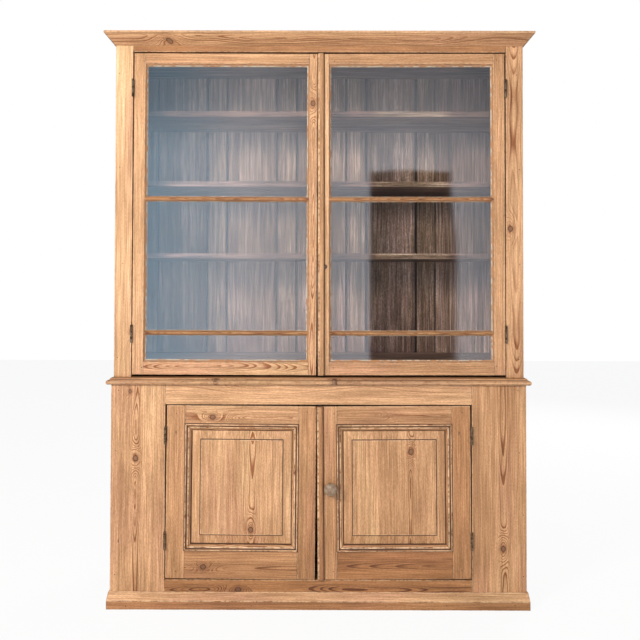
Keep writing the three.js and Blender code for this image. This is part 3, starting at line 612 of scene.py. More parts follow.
def plank_row(name, box, first, width, pitch, count, tone, seed, *nodes):
    """Upright planks of one width, with bevelled front arrises, and painted shade that darkens them towards the foot.
    """
    low, high = box
    thick = high.y - low.y
    outline = [(hair, bevel), (bevel, 0), (width - bevel, 0), (width - hair, bevel), (width - hair, thick),
               (hair, thick)]
    wood = Stock()
    wood.length(rounded(outline, 0.0006), Vector((0, 0, 0)), upwards, across_x, rearwards, high.z - low.z,
                knot=(3.0, 3.0), tone=tone, seed=seed, step=0.06)
    wood.edge = [-1 if edge > 0.5 else edge for edge in wood.edge]
    # Painted shade: the tone deepens towards the foot of each plank.
    wood.tone = [tone + foot_painted_shade * max(0.0, 1 - point.z / foot_reach) for point in wood.points]
    row = in_a_row(wood.piece(name, None), stained_pine, count, (first, low.y, low.z), (pitch, 0, 0), seed)
    hold(row, "case", "stained_pine", *nodes)


low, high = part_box("lower_back_boards")
lower_plank_count = 8
lower_plank = (high.x - low.x) / lower_plank_count
plank_row("lower_back_planks", (low, high), low.x, lower_plank, lower_plank, lower_plank_count, 0.8, 5,
          "lower_back_boards")


# ---------------------------------------------------------------- base cupboard's face frame
# Two broad pine stiles, a top rail and a narrow bottom rail, tenoned and pegged, planed flush.
# The left stile has a pair of knots side by side near its middle.
# Painted shade: the rail's underside, over the gap above the doors, is given a negative edge and so is coloured dark.
def painted_shade_underneath(wood, low):
    wood.edge = [-1 if point.z < low.z + arris else edge for point, edge in zip(wood.points, wood.edge)]


case_board("lower_stile_left", 2, 0, knot=(0.46, 0.67), tone=0.46)
case_board("lower_stile_right", 2, 0, knot=(0.57, 0.27), tone=0.60)
case_board("lower_top_rail", 0, 2, change=painted_shade_underneath, knot=(1.4, 3.0), tone=0.40)
case_board("lower_bottom_rail", 0, 2, knot=(0.5, 0.24), tone=1.0)


# ---------------------------------------------------------------- waist board
# One board between the two cases, with a round nose on three sides and a small step above it.
# It is nailed down onto the base cupboard.
nose_radius = 0.0085
lip = 0.012
nose_wear = 0.0007


def rectangle(x0, x1, y0, y1, columns, rows):
    """Points at even steps round a rectangle."""
    wide, tall = x1 - x0, y1 - y0
    return ([(x0 + wide * i / columns, y0) for i in range(columns)] + [(x1, y0 + tall * i / rows) for i in range(rows)]
            + [(x1 - wide * i / columns, y1) for i in range(columns)]
            + [(x0, y1 - tall * i / rows) for i in range(rows)])


def nosed_slab(name, low, high, tone, step=0.035):
    """A slab whose front and side edges are a half-round nose with a step back above it."""
    thick = high.z - low.z
    turns = [-math.pi / 2 + math.pi * i / 8 for i in range(9)]
    profile = [(fade + nose_radius, 0, 0)]
    profile += [(nose_radius * (1 - math.cos(t)), nose_radius * (1 + math.sin(t)), 0.66) for t in turns]
    # Painted shade: the inside corner where the nose meets the step carries a negative edge and is coloured dark.
    profile += [(lip, 2 * nose_radius + 0.0006, -0.8), (lip + 0.001, thick - 0.0006, 0.7),
                (lip + 0.0018, thick, 0.7), (lip + shoulder, thick, 0.4), (lip + fade, thick, 0)]
    wood = Stock()
    loops = []
    for inset, up, edge in profile:
        ring = rectangle(low.x + inset, high.x - inset, low.y + inset, high.y,
                         int((high.x - low.x) / step), int((high.y - low.y) / step))
        loops.append((len(wood.points), len(ring)))
        for x, y in ring:
            rub = 0.0
            if edge > 0.6 and y < high.y - 0.001:
                rub = nose_wear * max(0.0, noise.noise(Vector((x * 13, y * 13, up * 160))) + 0.1)
            inward_y = rub if y < low.y + 0.1 else 0
            inward_x = math.copysign(rub, -x) if abs(abs(x) - (high.x - inset)) < 0.001 else 0
            wood.point(Vector((x + inward_x, y + inward_y, low.z + up)),
                       (y - (low.y + high.y) / 2, up - 0.012, x - 0.31), 0.37, edge, tone)
    wood.stack(loops)
    return wood.piece(name, waxed_pine)


hold(nosed_slab("waist_slab", *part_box("waist_board"), 0.62), "case", "pine", "waist_board")


# ---------------------------------------------------------------- plinth
# A square-faced skirting with a long bevel on top, mitred at the front corners and nailed to the
# cupboard on three sides.
def three_sides(name, section, half, face, back, tones, knots, painted_light_above=math.inf, painted_light_by=0.0):
    """A moulding around three sides of a case, mitred at its two front corners."""
    upright = [(up, -out, edge) for out, up, edge in section]
    runs = (("front", -half, across_x, rearwards, 2 * half, tones[0], knots[0], (1, -1)),
            ("left", -half, rearwards, across_x, back - face, tones[1], knots[1], (1, 0)),
            ("right", half, rearwards, -across_x, back - face, tones[2], knots[1], (1, 0)))
    for side, x, along, inward, long, tone, knot, mitres in runs:
        wood = Stock()
        wood.length(upright, Vector((x, face, 0)), along, upwards, inward, long, knot=knot, tone=tone,
                    mitres=mitres, wear=0.0009)
        # Painted light: above the given height, the long bevel that looks up is made paler.
        wood.tone = [tone - painted_light_by * (point.z > painted_light_above) for point in wood.points]
        hold(wood.piece(f"{name}_{side}_moulding", waxed_pine), "case", "pine", f"{name}_{side}")


plinth_low, plinth_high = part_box("plinth_front")
lower_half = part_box("lower_stile_right")[1].x
case_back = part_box("lower_side_left")[1].y
plinth_out = lower_face - plinth_low.y
plinth_face_height = 0.031
plinth_top_out = 0.004
seat = 0.0003
plinth_section = rounded([
    (seat, 0), (plinth_out, 0), (plinth_out, plinth_face_height), (plinth_top_out, plinth_high.z),
    (seat, plinth_high.z)], 0.0016)
# The bevel above the square face is painted paler: painted light where it looks up.
three_sides("plinth", plinth_section, lower_half, lower_face, case_back, (0.94, 0.85, 0.9),
            ((1.8, 0.42), (1.8, 0.4)), plinth_face_height + 0.001, 0.5)


# ---------------------------------------------------------------- upper case's sides, floor, shelves and back
# Pine sides like the base's. Floor, three shelves and ceiling are stained dark and let into the
# sides; the shelves' front edges are painted palest behind the right-hand door, painted light. Back
# planks alternate.
def painted_light_on_front(wood, low):
    """A shelf's front edge, a little paler behind the right-hand door: painted light."""
    for i, point in enumerate(wood.points):
        if point.y < low.y + 0.006:
            wood.tone[i] = 0.58 if 0.20 < point.x < 0.48 else 0.9


for side, tone in (("left", 0.45), ("right", 0.6)):
    case_board(f"upper_side_{side}", 2, 1, knot=(0.4, 0.62), tone=tone)
upper_reach = abs(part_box("upper_side_left")[1].x)
for number, node in enumerate(("bottom_board", "shelf_1", "shelf_2", "shelf_3", "top_board")):
    case_board(f"upper_{node}", 0, 1, "stained_pine", stained_pine, upper_reach,
               painted_light_on_front if "shelf" in node else None, knot=(0.4, 0.2 + 0.15 * number), tone=0.82,
               seed=3.3 + number)

low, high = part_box("upper_back_boards")
plank_pair = 0.291
narrow_plank = 0.083
first_joint = -0.469
wide_plank = plank_pair - narrow_plank
wide_first = first_joint - wide_plank
plank_row("upper_back_wide_planks", (low, high), wide_first, wide_plank, plank_pair, 4, 0.74, 11,
          "upper_back_boards")
plank_row("upper_back_narrow_planks", (low, high), first_joint, narrow_plank, plank_pair, 4, 0.66, 17)
ends = Stock()
for left, right in ((low.x, wide_first), (wide_first + 4 * plank_pair, high.x)):
    ends.board_between(Vector((left + hair, low.y, low.z)), Vector((right - hair, high.y, high.z)), 2, 0,
                       knot=(3, 3), tone=0.78, seed=left)
hold(ends.piece("upper_back_end_planks", stained_pine), "case", "stained_pine")


# ---------------------------------------------------------------- upper case's face frame
# Narrow pine stiles and a top rail, flush, with the cornice planted over them.
case_board("upper_stile_left", 2, 0, knot=(1.7, 3.0), tone=0.24)
case_board("upper_stile_right", 2, 0, knot=(0.5, 3.0), tone=0.52)
# A deep tone for the top rail: painted shade under the cornice.
case_board("upper_top_rail", 0, 2, knot=(1.5, 3.0), tone=0.95)


# ---------------------------------------------------------------- cornice
# A plain sloping board with a square fillet along its top, mitred at the front corners and glued
# round three sides. It is chipped along its upper arris.
cornice_low, cornice_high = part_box("cornice_front")
upper_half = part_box("upper_stile_right")[1].x
upper_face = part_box("upper_stile_left")[0].y
cornice_out = upper_face - cornice_low.y
cornice_fillet = 0.008
cornice_top_width = 0.022
cornice_glued = 0.030
cornice_section = rounded([
    (seat, cornice_low.z), (cornice_out - 0.0015, cornice_high.z - cornice_fillet),
    (cornice_out, cornice_high.z - cornice_fillet), (cornice_out, cornice_high.z),
    (cornice_out - cornice_top_width, cornice_high.z), (seat, cornice_low.z + cornice_glued)], 0.0014, 0.68)
three_sides("cornice", cornice_section, upper_half, upper_face, case_back, (0.48, 0.45, 0.6),
            ((0.3, 0.14), (0.5, 0.5)))


# ---------------------------------------------------------------- glazed doors
# Light pine frames, tenoned at the corners, rebated at the front for the glass, which is held by
# putty and crossed by two thin bars. Worn hinges let each leaf's free side hang a little low.
upper_sag = math.radians(0.12)
lower_sag = math.radians(0.4)


class Leaf:
    """One hung leaf before it drops: its outline, and the turn that its worn hinges give it."""

    def __init__(self, level, side, sag):
        low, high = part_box(f"{level}_{side}_door_frame")
        self.body = f"{level}_{side}_door"
        wide, tall = high.x - low.x, high.z - low.z
        cos, sin = math.cos(sag), math.sin(sag)
        width = (wide * cos - tall * sin) / math.cos(2 * sag)
        height = (tall * cos - wide * sin) / math.cos(2 * sag)
        middle = (low + high) / 2
        self.left, self.right = middle.x - width / 2, middle.x + width / 2
        self.bottom, self.top = middle.z - height / 2, middle.z + height / 2
        drop = Matrix.Rotation(sag if side == "left" else -sag, 4, "Y")
        self.turn = Matrix.Translation(middle) @ drop @ Matrix.Translation(-middle)


door_thick = 0.022
glass_lip = 0.008
rebate = 0.0126
glass_front = 0.0093
glass_thick = 0.003
hinge_stile = 0.049
meeting_stile = {"left": 0.0365, "right": 0.049}
door_top_rail = 0.046
door_bottom_rail = 0.055
bar_half = 0.007
bar_levels = (0.091, 0.546)


def rebated(width):
    """A member's section, rebated at the front along its inner edge for the glass."""
    return [(0, 0), (width - glass_lip, 0), (width - glass_lip, rebate), (width, rebate), (width, door_thick),
            (0, door_thick)]


def door_members(leaf, face, section, widths, heights, lap, tones, knots, rail_seed, ends):
    """Two stiles and the rails between them; gives the wood and the opening inside them."""
    wood = Stock()
    for start, wide, inward, tone, knot in zip((leaf.left, leaf.right), widths, (across_x, -across_x), tones, knots):
        wood.length(rounded(section(wide)), Vector((start, face, leaf.bottom)), upwards, inward, rearwards,
                    leaf.top - leaf.bottom, knot=knot, tone=tone, ends=ends, seed=start)
    x0, x1 = leaf.left + widths[0], leaf.right - widths[1]
    for level, wide, inward, tone, knot in zip((leaf.top, leaf.bottom), heights, (-upwards, upwards),
                                               tones[2:], knots[2:]):
        wood.length(rounded(section(wide)), Vector((x0 - lap + hair, face, level)), across_x, inward, rearwards,
                    x1 - x0 + 2 * (lap - hair), knot=knot, tone=tone, seed=level + rail_seed)
    return wood, (x0, x1, leaf.bottom + heights[1], leaf.top - heights[0])


glazed = {
    "left": ((0.50, 0.38, 0.56, 0.28), ((1.6, 3), (0.42, 0.845), (2, 3), (0.5, 3))),
    "right": ((0.30, 0.62, 0.58, 0.56), ((1.5, 3), (1.6, 3), (2, 3), (1.8, 3))),
}
bar_section = [(-bar_half, glass_front, -0.7), (-bar_half, 0.0052, -0.7), (-bar_half * 0.62, 0.0020, 0.4),
               (-bar_half * 0.25, 0.0006, 0.4), (bar_half * 0.25, 0.0006, 0.4), (bar_half * 0.62, 0.0020, 0.4),
               (bar_half, 0.0052, -0.7), (bar_half, glass_front, -0.7)]
upper_leaves = {side: Leaf("upper", side, upper_sag) for side in glazed}
sight = {}
for side, (tones, knots) in glazed.items():
    leaf = upper_leaves[side]
    widths = (hinge_stile, meeting_stile[side]) if side == "left" else (meeting_stile[side], hinge_stile)
    wood, sight[side] = door_members(leaf, upper_face, rebated, widths, (door_top_rail, door_bottom_rail),
                                     glass_lip, tones, knots, leaf.left, 0)
    x0, x1, z0, z1 = sight[side]
    for share_up in bar_levels:
        level = z0 + share_up * (z1 - z0)
        wood.length(bar_section, Vector((x0 - glass_lip, upper_face, level)), across_x, upwards, rearwards,
                    x1 - x0 + 2 * glass_lip, knot=(0.5, 4), tone=0.9, wear=0.0005, seed=level)
    hold(wood.piece(f"{leaf.body}_members", waxed_pine, leaf.turn), leaf.body, "pine", f"{leaf.body}_frame")


# ---------------------------------------------------------------- glass and putty
# Thin old drawn glass in three panes to a door, faintly wavy. Each pane is bedded in putty at the
# front, smoothed to a slope and coloured like the wood, with a ragged paler edge on the glass.
old_glass, tree = new_material("old_glass")
stretched = add(tree, "ShaderNodeMapping", {"Vector": own_place(tree), "Scale": (1.0, 1.0, 0.55)})[0]
waves = clouds(tree, stretched, 5.0, 0.0)["Fac"]
wavy = add(tree, "ShaderNodeBump", {"Height": waves, "Strength": 0.25, "Distance": 0.004})[0]
clear = add(tree, "ShaderNodeBsdfPrincipled", {"Base Color": (0.97, 0.99, 0.99, 1), "Roughness": 0.0, "IOR": 1.5,
                                               "Transmission Weight": 1.0, "Normal": wavy})[0]
through = add(tree, "ShaderNodeBsdfTransparent", {0: (0.93, 0.96, 0.96, 1)})[0]
shadow = add(tree, "ShaderNodeLightPath")["Is Shadow Ray"]
add(tree, "ShaderNodeOutputMaterial", {0: mixed(tree, shadow, clear, through)})

putty, tree = new_material("coloured_putty")
lumps = clouds(tree, own_place(tree), 60.0, 4.0)["Fac"]
crumbs = clouds(tree, own_place(tree), 240.0, 3.0)["Fac"]
body = lumps.between(0.35, 0.68).mix(display(176, 124, 82), display(132, 88, 56))
ragged = carried(tree, "edge") * lumps.between(0.40, 0.58)
surface(tree, ragged.mix(body, display(205, 190, 168)), crumbs.between(0.3, 0.7, 0.6, 0.8), crumbs, 0.6, 0.0008)


def runs_round(x0, x1, z0, z1, face):
    """The four sides of an opening: where each starts, its way, the way inwards, and its length."""
    return ((Vector((x0, face, z0)), upwards, across_x, z1 - z0), (Vector((x1, face, z0)), upwards, -across_x, z1 - z0),
            (Vector((x0, face, z1)), across_x, -upwards, x1 - x0), (Vector((x0, face, z0)), across_x, upwards, x1 - x0))


pane_gap = 0.0007
pane_bed = 0.0003
putty_section = [(hair, 0.0006, 0), (0.0045, 0.0040, 0.2), (glass_lip - 0.0010, 0.0078, 1),
                 (glass_lip + 0.0006, 0.0090, 1), (hair, 0.0090, 0)]
bar_putty = [(bar_half + 0.0001, 0.0052, 0), (bar_half + 0.0024, 0.0078, 1), (bar_half + 0.0030, 0.0090, 1),
             (bar_half + 0.0001, 0.0090, 0)]
for side, leaf in upper_leaves.items():
    x0, x1, z0, z1 = sight[side]
    reach = glass_lip - pane_gap
    bars = [z0 + share * (z1 - z0) for share in bar_levels]
    levels = [z0 - reach, *bars, z1 + reach]
    wide = x1 - x0 + 2 * reach
    panes = Stock()
    for low_z, high_z in zip(levels, levels[1:]):
        panes.length([(0, 0, 0), (wide, 0, 0), (wide, glass_thick, 0), (0, glass_thick, 0)],
                     Vector((x0 - reach, upper_face + glass_front, low_z + pane_bed)), upwards, across_x, rearwards,
                     high_z - low_z - 2 * pane_bed, wear=0, step=0.2)
    hold(panes.piece(f"upper_{side}_panes", old_glass, leaf.turn), leaf.body, "glass", f"upper_{side}_glass")

    fillets = Stock()
    for start, along, inward, long in runs_round(x0 - glass_lip, x1 + glass_lip, z0 - glass_lip, z1 + glass_lip,
                                                 upper_face):
        fillets.length(putty_section, start, along, inward, rearwards, long, wear=0.0012, step=0.012)
    for level in bars:
        for way in (upwards, -upwards):
            fillets.length(bar_putty, Vector((x0, upper_face, level)), across_x, way, rearwards, x1 - x0,
                           wear=0.0006, step=0.012)
    hold(fillets.piece(f"upper_{side}_putty", putty, leaf.turn), leaf.body, "pine")


# ---------------------------------------------------------------- panelled doors
# Heavier pine frames grooved for a raised and fielded panel, with a bold moulding planted round
# the opening. The knots and the stain on the left panel are part of its figure.
lower_members = {"hinge": 0.068, "left": 0.064, "right": 0.073, "top": 0.067, "bottom": 0.101}
moulding_wide = 0.024
panel_groove = 0.0094
panel_face = 0.010
panel_margin = 0.032
panel_thick = 0.006
field_face = 0.003
step_face = 0.0055

# The moulding's quirks and the lines where it meets the frame and the panel carry negative edges: painted shade in the
# recesses, and dark joints.
moulding_section = [
    (-0.0030, 0.0002, -1), (-0.0030, -0.0003, -1), (-0.0008, -0.0004, -1), (-0.0002, -0.0030, 0.3),
    (0.0010, -0.0048, 1), (0.0030, -0.0050, 0.9), (0.0046, -0.0036, 0.3), (0.0054, -0.0010, -0.8),
    (0.0080, -0.0004, -1), (0.0092, -0.0014, -0.2), (0.0104, -0.0026, 0.9), (0.0130, -0.0020, 1),
    (0.0156, 0.0006, 0.6), (0.0178, 0.0030, 0.2), (0.0200, 0.0042, 0), (0.0212, 0.0054, -0.7),
    (0.0226, 0.0074, -1), (0.0240, 0.0090, -0.8), (0.0240, 0.0096, -1), (0.0003, 0.0096, 0), (0.0003, 0.0002, 0)]


def plain(width):
    return [(0, 0), (width, 0), (width, door_thick), (0, door_thick)]


def planted_moulding(opening, tones):
    """Four lengths mitred round the opening."""
    wood = Stock()
    for (start, along, inward, long), tone in zip(runs_round(*opening, lower_face), tones):
        wood.length([(deep, across, edge) for across, deep, edge in moulding_section], start, along, rearwards,
                    inward, long, knot=(0.5, 5), tone=tone, mitres=(1, -1), wear=0.0004, step=0.02)
    return wood


def fielded_panel(name, opening, tone, knot, turn):
    """One wide board: a tongue in the groove, a sloping border, a small step and a flat field."""
    x0, x1, z0, z1 = opening
    inner = moulding_wide + panel_margin
    # The border's foot under the moulding and the small step carry negative edges: painted shade in these recesses,
    # with dirt.
    rings = [(-panel_groove, panel_face + panel_thick, 0), (-panel_groove, panel_face, 0),
             (moulding_wide - 0.004, panel_face, 0), (moulding_wide, panel_face, -0.6),
             (moulding_wide + 0.0012, panel_face, -0.3), (moulding_wide + 0.003, panel_face - 0.0004, 0.3),
             (inner - 0.0034, step_face + 0.0006, 0.2), (inner - 0.0022, step_face + 0.0001, -0.75),
             (inner, step_face, -1), (inner + 0.0006, field_face + 0.0009, -0.5), (inner + 0.0016, field_face, 1),
             (inner + 0.001 + shoulder, field_face, 0.35), (inner + fade, field_face, 0)]
    wood = Stock()
    loops = []
    for inset, depth, edge in rings:
        ring = rectangle(x0 + inset, x1 - inset, z0 + inset, z1 - inset, 14, 18)
        loops.append((len(wood.points), len(ring)))
        for x, z in ring:
            wood.point(Vector((x, lower_face + depth, z)),
                       (x - x0 - knot[0] * (x1 - x0), depth - 0.008, z - z0 - knot[1] * (z1 - z0)),
                       knot[0], edge, tone)
    wood.stack(loops)
    return wood.piece(name, waxed_pine, turn)


panelled = {
    "left": ((0.74, 0.78, 0.48, 0.82), ((1.6, 3), (1.5, 3), (0.62, 0.24), (0.42, 0.17)),
             (0.6, 0.5, 0.6, 0.5), 0.44, (0.586, 0.165)),
    "right": ((0.68, 0.88, 0.62, 1.0), ((1.6, 3), (1.7, 3), (0.5, 3), (0.5, 3)),
              (0.6, 0.6, 0.6, 0.65), 0.52, (0.645, 0.785)),
}
lower_leaves = {side: Leaf("lower", side, lower_sag) for side in panelled}
for side, (tones, knots, moulding_tones, panel_tone, panel_knot) in panelled.items():
    leaf = lower_leaves[side]
    widths = [lower_members[member] for member in (("hinge", side) if side == "left" else (side, "hinge"))]
    wood, opening = door_members(leaf, lower_face, plain, widths, (lower_members["top"], lower_members["bottom"]),
                                 0, tones, knots, leaf.right, arris)
    hold(wood.piece(f"{leaf.body}_members", waxed_pine, leaf.turn), leaf.body, "pine", f"{leaf.body}_frame")
    trim = planted_moulding(opening, moulding_tones)
    hold(trim.piece(f"lower_{side}_planted_moulding", waxed_pine, leaf.turn), leaf.body, "pine")
    panel = fielded_panel(f"lower_{side}_fielded_panel", opening, panel_tone, panel_knot, leaf.turn)
    hold(panel, leaf.body, "pine", f"lower_{side}_panel")


# ---------------------------------------------------------------- meeting beads
# A half-round bead planted along the free edge of each right-hand leaf, so that it laps the other.
# Its left flank is rubbed and painted pale as a highlight, its right flank painted dark as shade, as light falls from
# the left, and it is dark at the joints.
bead_radius = 0.01275
bead_proud = 0.011
# Edges across the bead from left to right: a painted highlight on its left flank, painted shade down its right flank,
# dark at both joints.
bead_highlight_and_shade = (-0.6, 0.2, 0.8, 1, 1, 0.9, 0.6, 0.3, 0, 0, 0, -0.2, -0.4, -0.6, -0.9, -1, -1)
half_round = []
for i, edge in enumerate(bead_highlight_and_shade):
    turn = math.pi * i / (len(bead_highlight_and_shade) - 1)
    half_round.append((bead_radius - bead_radius * math.cos(turn), -bead_proud * math.sin(turn) - seat, edge))
for level, leaf, face, tone in (("lower", lower_leaves["right"], lower_face, 0.85),
                                ("upper", upper_leaves["right"], upper_face, 0.6)):
    wood = Stock()
    wood.length(half_round, Vector((leaf.left, face, leaf.bottom)), upwards, across_x, rearwards,
                leaf.top - leaf.bottom, knot=(1.8, 3), tone=tone, wear=0.0009, step=0.02, seed=2.7)
    hold(wood.piece(f"{level}_meeting_half_round", waxed_pine, leaf.turn), leaf.body, "pine", f"{level}_meeting_bead")


# ---------------------------------------------------------------- hinges
# Iron butt hinges, two to a door, with five knuckles on a pin. The leaves are let into the edges
# of the stile and the door and screwed; only the barrels show when the doors are shut.
def tarnish_group():
    """Metal that hands and damp have mottled: two colours in patches, and small pits."""
    tree, given = new_group("tarnish", {"Place": "Vector", "Bright": "Color", "Dull": "Color", "Scale": "Float"},
                            {"Colour": "Color", "Roughness": "Float", "Pits": "Float"})
    dull = clouds(tree, given["Place"], given["Scale"], 5.0, 0.6)["Fac"].between(0.40, 0.62)
    pits = clouds(tree, given["Place"], given["Scale"] * 9.0, 3.0)["Fac"]
    add(tree, "NodeGroupOutput", {"Colour": dull.mix(given["Bright"], given["Dull"]),
                                  "Roughness": dull * 0.28 + 0.34, "Pits": pits})
    return tree


tarnish = tarnish_group()


def mottled(name, bright, dull, scale, metallic, pitting):
    material, tree = new_material(name)
    skin = add(tree, "ShaderNodeGroup", {"Place": own_place(tree), "Bright": bright, "Dull": dull, "Scale": scale},
               node_tree=tarnish)
    surface(tree, skin["Colour"], skin["Roughness"], skin["Pits"], pitting, 0.0005, {"Metallic": metallic})
    return material


old_iron = mottled("old_iron", display(128, 108, 86), display(72, 52, 40), 90.0, 0.75, 0.5)
bright_iron = mottled("filed_iron", display(150, 140, 126), display(88, 74, 62), 140.0, 0.85, 0.3)
knuckle_radius = 0.0045
knuckle_stand_off = 0.0004
knuckle_gap = 0.0005
hinge_gap = 0.0034
hinge_count = 5
leaf_thick = 0.0011
leaf_back = 0.018
seam = 0.0003


def plain_mesh(name, points, faces, material, smooth_angle):
    mesh = bpy.data.meshes.new(name)
    mesh.from_pydata(points, [], faces)
    return finish_mesh(name, mesh, material, smooth_angle)


def turned(name, profile, sides, material, forwards=False, at=(0, 0, 0)):
    """A closed turned shape: (radius, height) points about an axis, upright or facing forwards."""
    points, faces, rings = [], [], []
    for radius, height in profile:
        turns = [2 * math.pi * i / sides for i in range(1 if radius == 0 else sides)]
        rings.append([len(points) + i for i in range(len(turns))])
        points += [Vector((radius * math.cos(t), radius * math.sin(t), height)) for t in turns]
    for below, above in zip(rings, rings[1:]):
        for i in range(sides):
            j = (i + 1) % sides
            corner = [below[i % len(below)], below[j % len(below)], above[j % len(above)], above[i % len(above)]]
            faces.append(tuple(dict.fromkeys(corner)))
    move = Matrix.Translation(Vector(at)) @ Matrix.Rotation(math.pi / 2 if forwards else 0, 4, "X")
    return plain_mesh(name, [move @ p for p in points], faces, material, 35)


def joined(name, parts, material):
    """Several finished shapes as one piece."""
    points, faces = [], []
    for part in parts:
        base = len(points)
        points += [v.co.copy() for v in part.data.vertices]
        faces += [tuple(base + v for v in face.vertices) for face in part.data.polygons]
        bpy.data.objects.remove(part)
    return plain_mesh(name, points, faces, material, 35)


def screw_head(name, turn=0.0):
    """A countersunk head with a sawn slot, facing along X or turned about the upright."""
    radius, slot, proud, deep = 0.0031, 0.0004, 0.00012, 0.0005
    points, faces = [], []

    def prism(outline, low, high):
        base, count = len(points), len(outline)
        points.extend(Vector((x, a, b)) for x in (low, high) for a, b in outline)
        faces.append(tuple(range(base + count - 1, base - 1, -1)))
        faces.append(tuple(range(base + count, base + 2 * count)))
        for i in range(count):
            j = (i + 1) % count
            faces.append((base + i, base + j, base + count + j, base + count + i))

    half_turn = math.acos(slot / radius)
    arc = [half_turn - 2 * half_turn * i / 8 for i in range(9)]
    right = [(radius * math.cos(t), radius * math.sin(t)) for t in reversed(arc)]
    prism(right, -deep, proud)
    prism([(-a, -b) for a, b in right], -deep, proud)
    reach = math.sqrt(radius * radius - slot * slot)
    prism([(-slot, -reach), (slot, -reach), (slot, reach), (-slot, reach)], -deep, -deep / 2)
    screw = plain_mesh(name, points, faces, None, 30)
    if turn:
        screw.data.transform(Matrix.Rotation(turn, 4, "Z"))
    return screw


barrel_reach = knuckle_radius - 0.0002
barrel_crown = knuckle_radius - 0.0010
hinge_parts = {}
hinges = [(level, face, side, sign, position, part) for level, face in (("upper", upper_face), ("lower", lower_face))
          for side, sign in (("left", -1), ("right", 1)) for position in ("lower", "higher") for part in ("case", "door")]
for level, face, side, sign, position, part in hinges:
    opening = abs(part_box(f"{level}_stile_right")[0].x)
    axis_x = sign * (opening - hinge_gap / 2)
    axis_y = face - knuckle_radius - knuckle_stand_off
    hinge = f"{level}_{side}_{position}_hinge"
    foot, top = (corner.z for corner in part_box(f"{hinge}_case_leaf"))
    pitch = (top - foot) / hinge_count
    on_case = part == "case"
    own = 0 if on_case else 1
    found = hinge_parts.setdefault("case" if on_case else f"{level}_{side}_door",
                                   {"nodes": [], "plates": Stock(), "barrels": [], "screws": []})
    found["nodes"].append(f"{hinge}_{part}_leaf")
    inner_x = opening - seam - leaf_thick if on_case else opening - hinge_gap + seam
    xs = sorted((sign * inner_x, sign * (inner_x + leaf_thick)))
    plates = found["plates"]
    plates.board_between(Vector((xs[0], face, foot)), Vector((xs[1], face + leaf_back, top)), 2, 1,
                         ends=seam, wear=0.0001)
    for k in range(own, hinge_count, 2):
        plates.board_between(Vector((xs[0], axis_y, foot + k * pitch + knuckle_gap)),
                             Vector((xs[1], face + 0.001, foot + (k + 1) * pitch - knuckle_gap)), 1, 2, ends=0, wear=0)
    tall = pitch - knuckle_gap
    barrel = [(0, 0), (barrel_crown, 0), (barrel_reach, 0.0004), (knuckle_radius, 0.0012),
              (knuckle_radius, tall - 0.0012), (barrel_reach, tall - 0.0004), (barrel_crown, tall), (0, tall)]
    start = (axis_x, axis_y, foot + own * pitch + knuckle_gap / 2)
    found["barrels"].append(in_a_row(turned("knuckle", barrel, 20, None), old_iron, (hinge_count + 1) // 2 - own,
                                     start, (0, 0, 2 * pitch), 3))
    shown, facing = (sign * inner_x, -sign) if on_case else (sign * (inner_x + leaf_thick), sign)
    rise = (top - foot) * 0.33
    found["screws"].append(in_a_row(screw_head("screw", math.pi if facing < 0 else 0), bright_iron, 3,
                                    (shown, face + 0.010, foot + rise / 2), (0, 0, rise), 7,
                                    jitter=(0, 0.0016, 0.0008), spin=(6.28, 0, 0)))
for body_name, found in hinge_parts.items():
    hold(found["plates"].piece(f"{body_name}_hinge_leaves", old_iron), body_name, "iron", *found["nodes"])
    hold(joined(f"{body_name}_hinge_knuckles", found["barrels"], old_iron), body_name, "iron")
    hold(joined(f"{body_name}_hinge_screws", found["screws"], bright_iron), body_name, "iron")


# ---------------------------------------------------------------- keyhole plate, lock and bolts
# A small blackened diamond plate nailed over the keyhole; a box lock screwed behind the stile; and
# flat bolts behind the left-hand leaves, each held in two straps.
low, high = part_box("escutcheon")
middle = (low + high) / 2
half_wide, half_tall = (high.x - low.x) / 2, (high.z - low.z) / 2
plate_steps = 40
hole_radius = 0.0026
hole_slot = 0.0012
hole_foot = 0.0062
points = []
turns = [(math.cos(2 * math.pi * i / plate_steps), math.sin(2 * math.pi * i / plate_steps)) for i in range(plate_steps)]
for depth, shrink in ((high.y, 1.0), (low.y + 0.0007, 1.0), (low.y, 0.86)):
    for cos, sin in turns:
        reach = shrink / (abs(cos) / half_wide + abs(sin) / half_tall)
        points.append(Vector((middle.x + reach * cos, depth, middle.z + reach * sin)))
for depth in (low.y, high.y):
    for cos, sin in turns:
        in_slot = sin < 0 and abs(hole_radius * cos) < hole_slot
        z = -hole_foot if in_slot else hole_radius * sin
        points.append(Vector((middle.x + hole_radius * cos, depth, middle.z + z + 0.001)))
faces = []
for base in range(0, len(points), plate_steps):
    above = (base + plate_steps) % len(points)
    for i in range(plate_steps):
        j = (i + 1) % plate_steps
        faces.append((base + i, above + i, above + j, base + j))
blackened = mottled("blackened_iron", display(92, 80, 70), display(34, 28, 26), 120.0, 0.6, 0.6)
hold(plain_mesh("keyhole_plate", points, faces, blackened, 30), "upper_right_door", "iron", "escutcheon")
pin_profile = [(0, -0.001), (0.0011, -0.001), (0.0011, 0.0), (0.0008, 0.0004), (0, 0.0005)]
pins = [turned("pin", pin_profile, 14, None, True, (middle.x, low.y, middle.z + way * half_tall * 0.66))
        for way in (-1, 1)]
hold(joined("keyhole_plate_pins", pins, bright_iron), "upper_right_door", "iron")

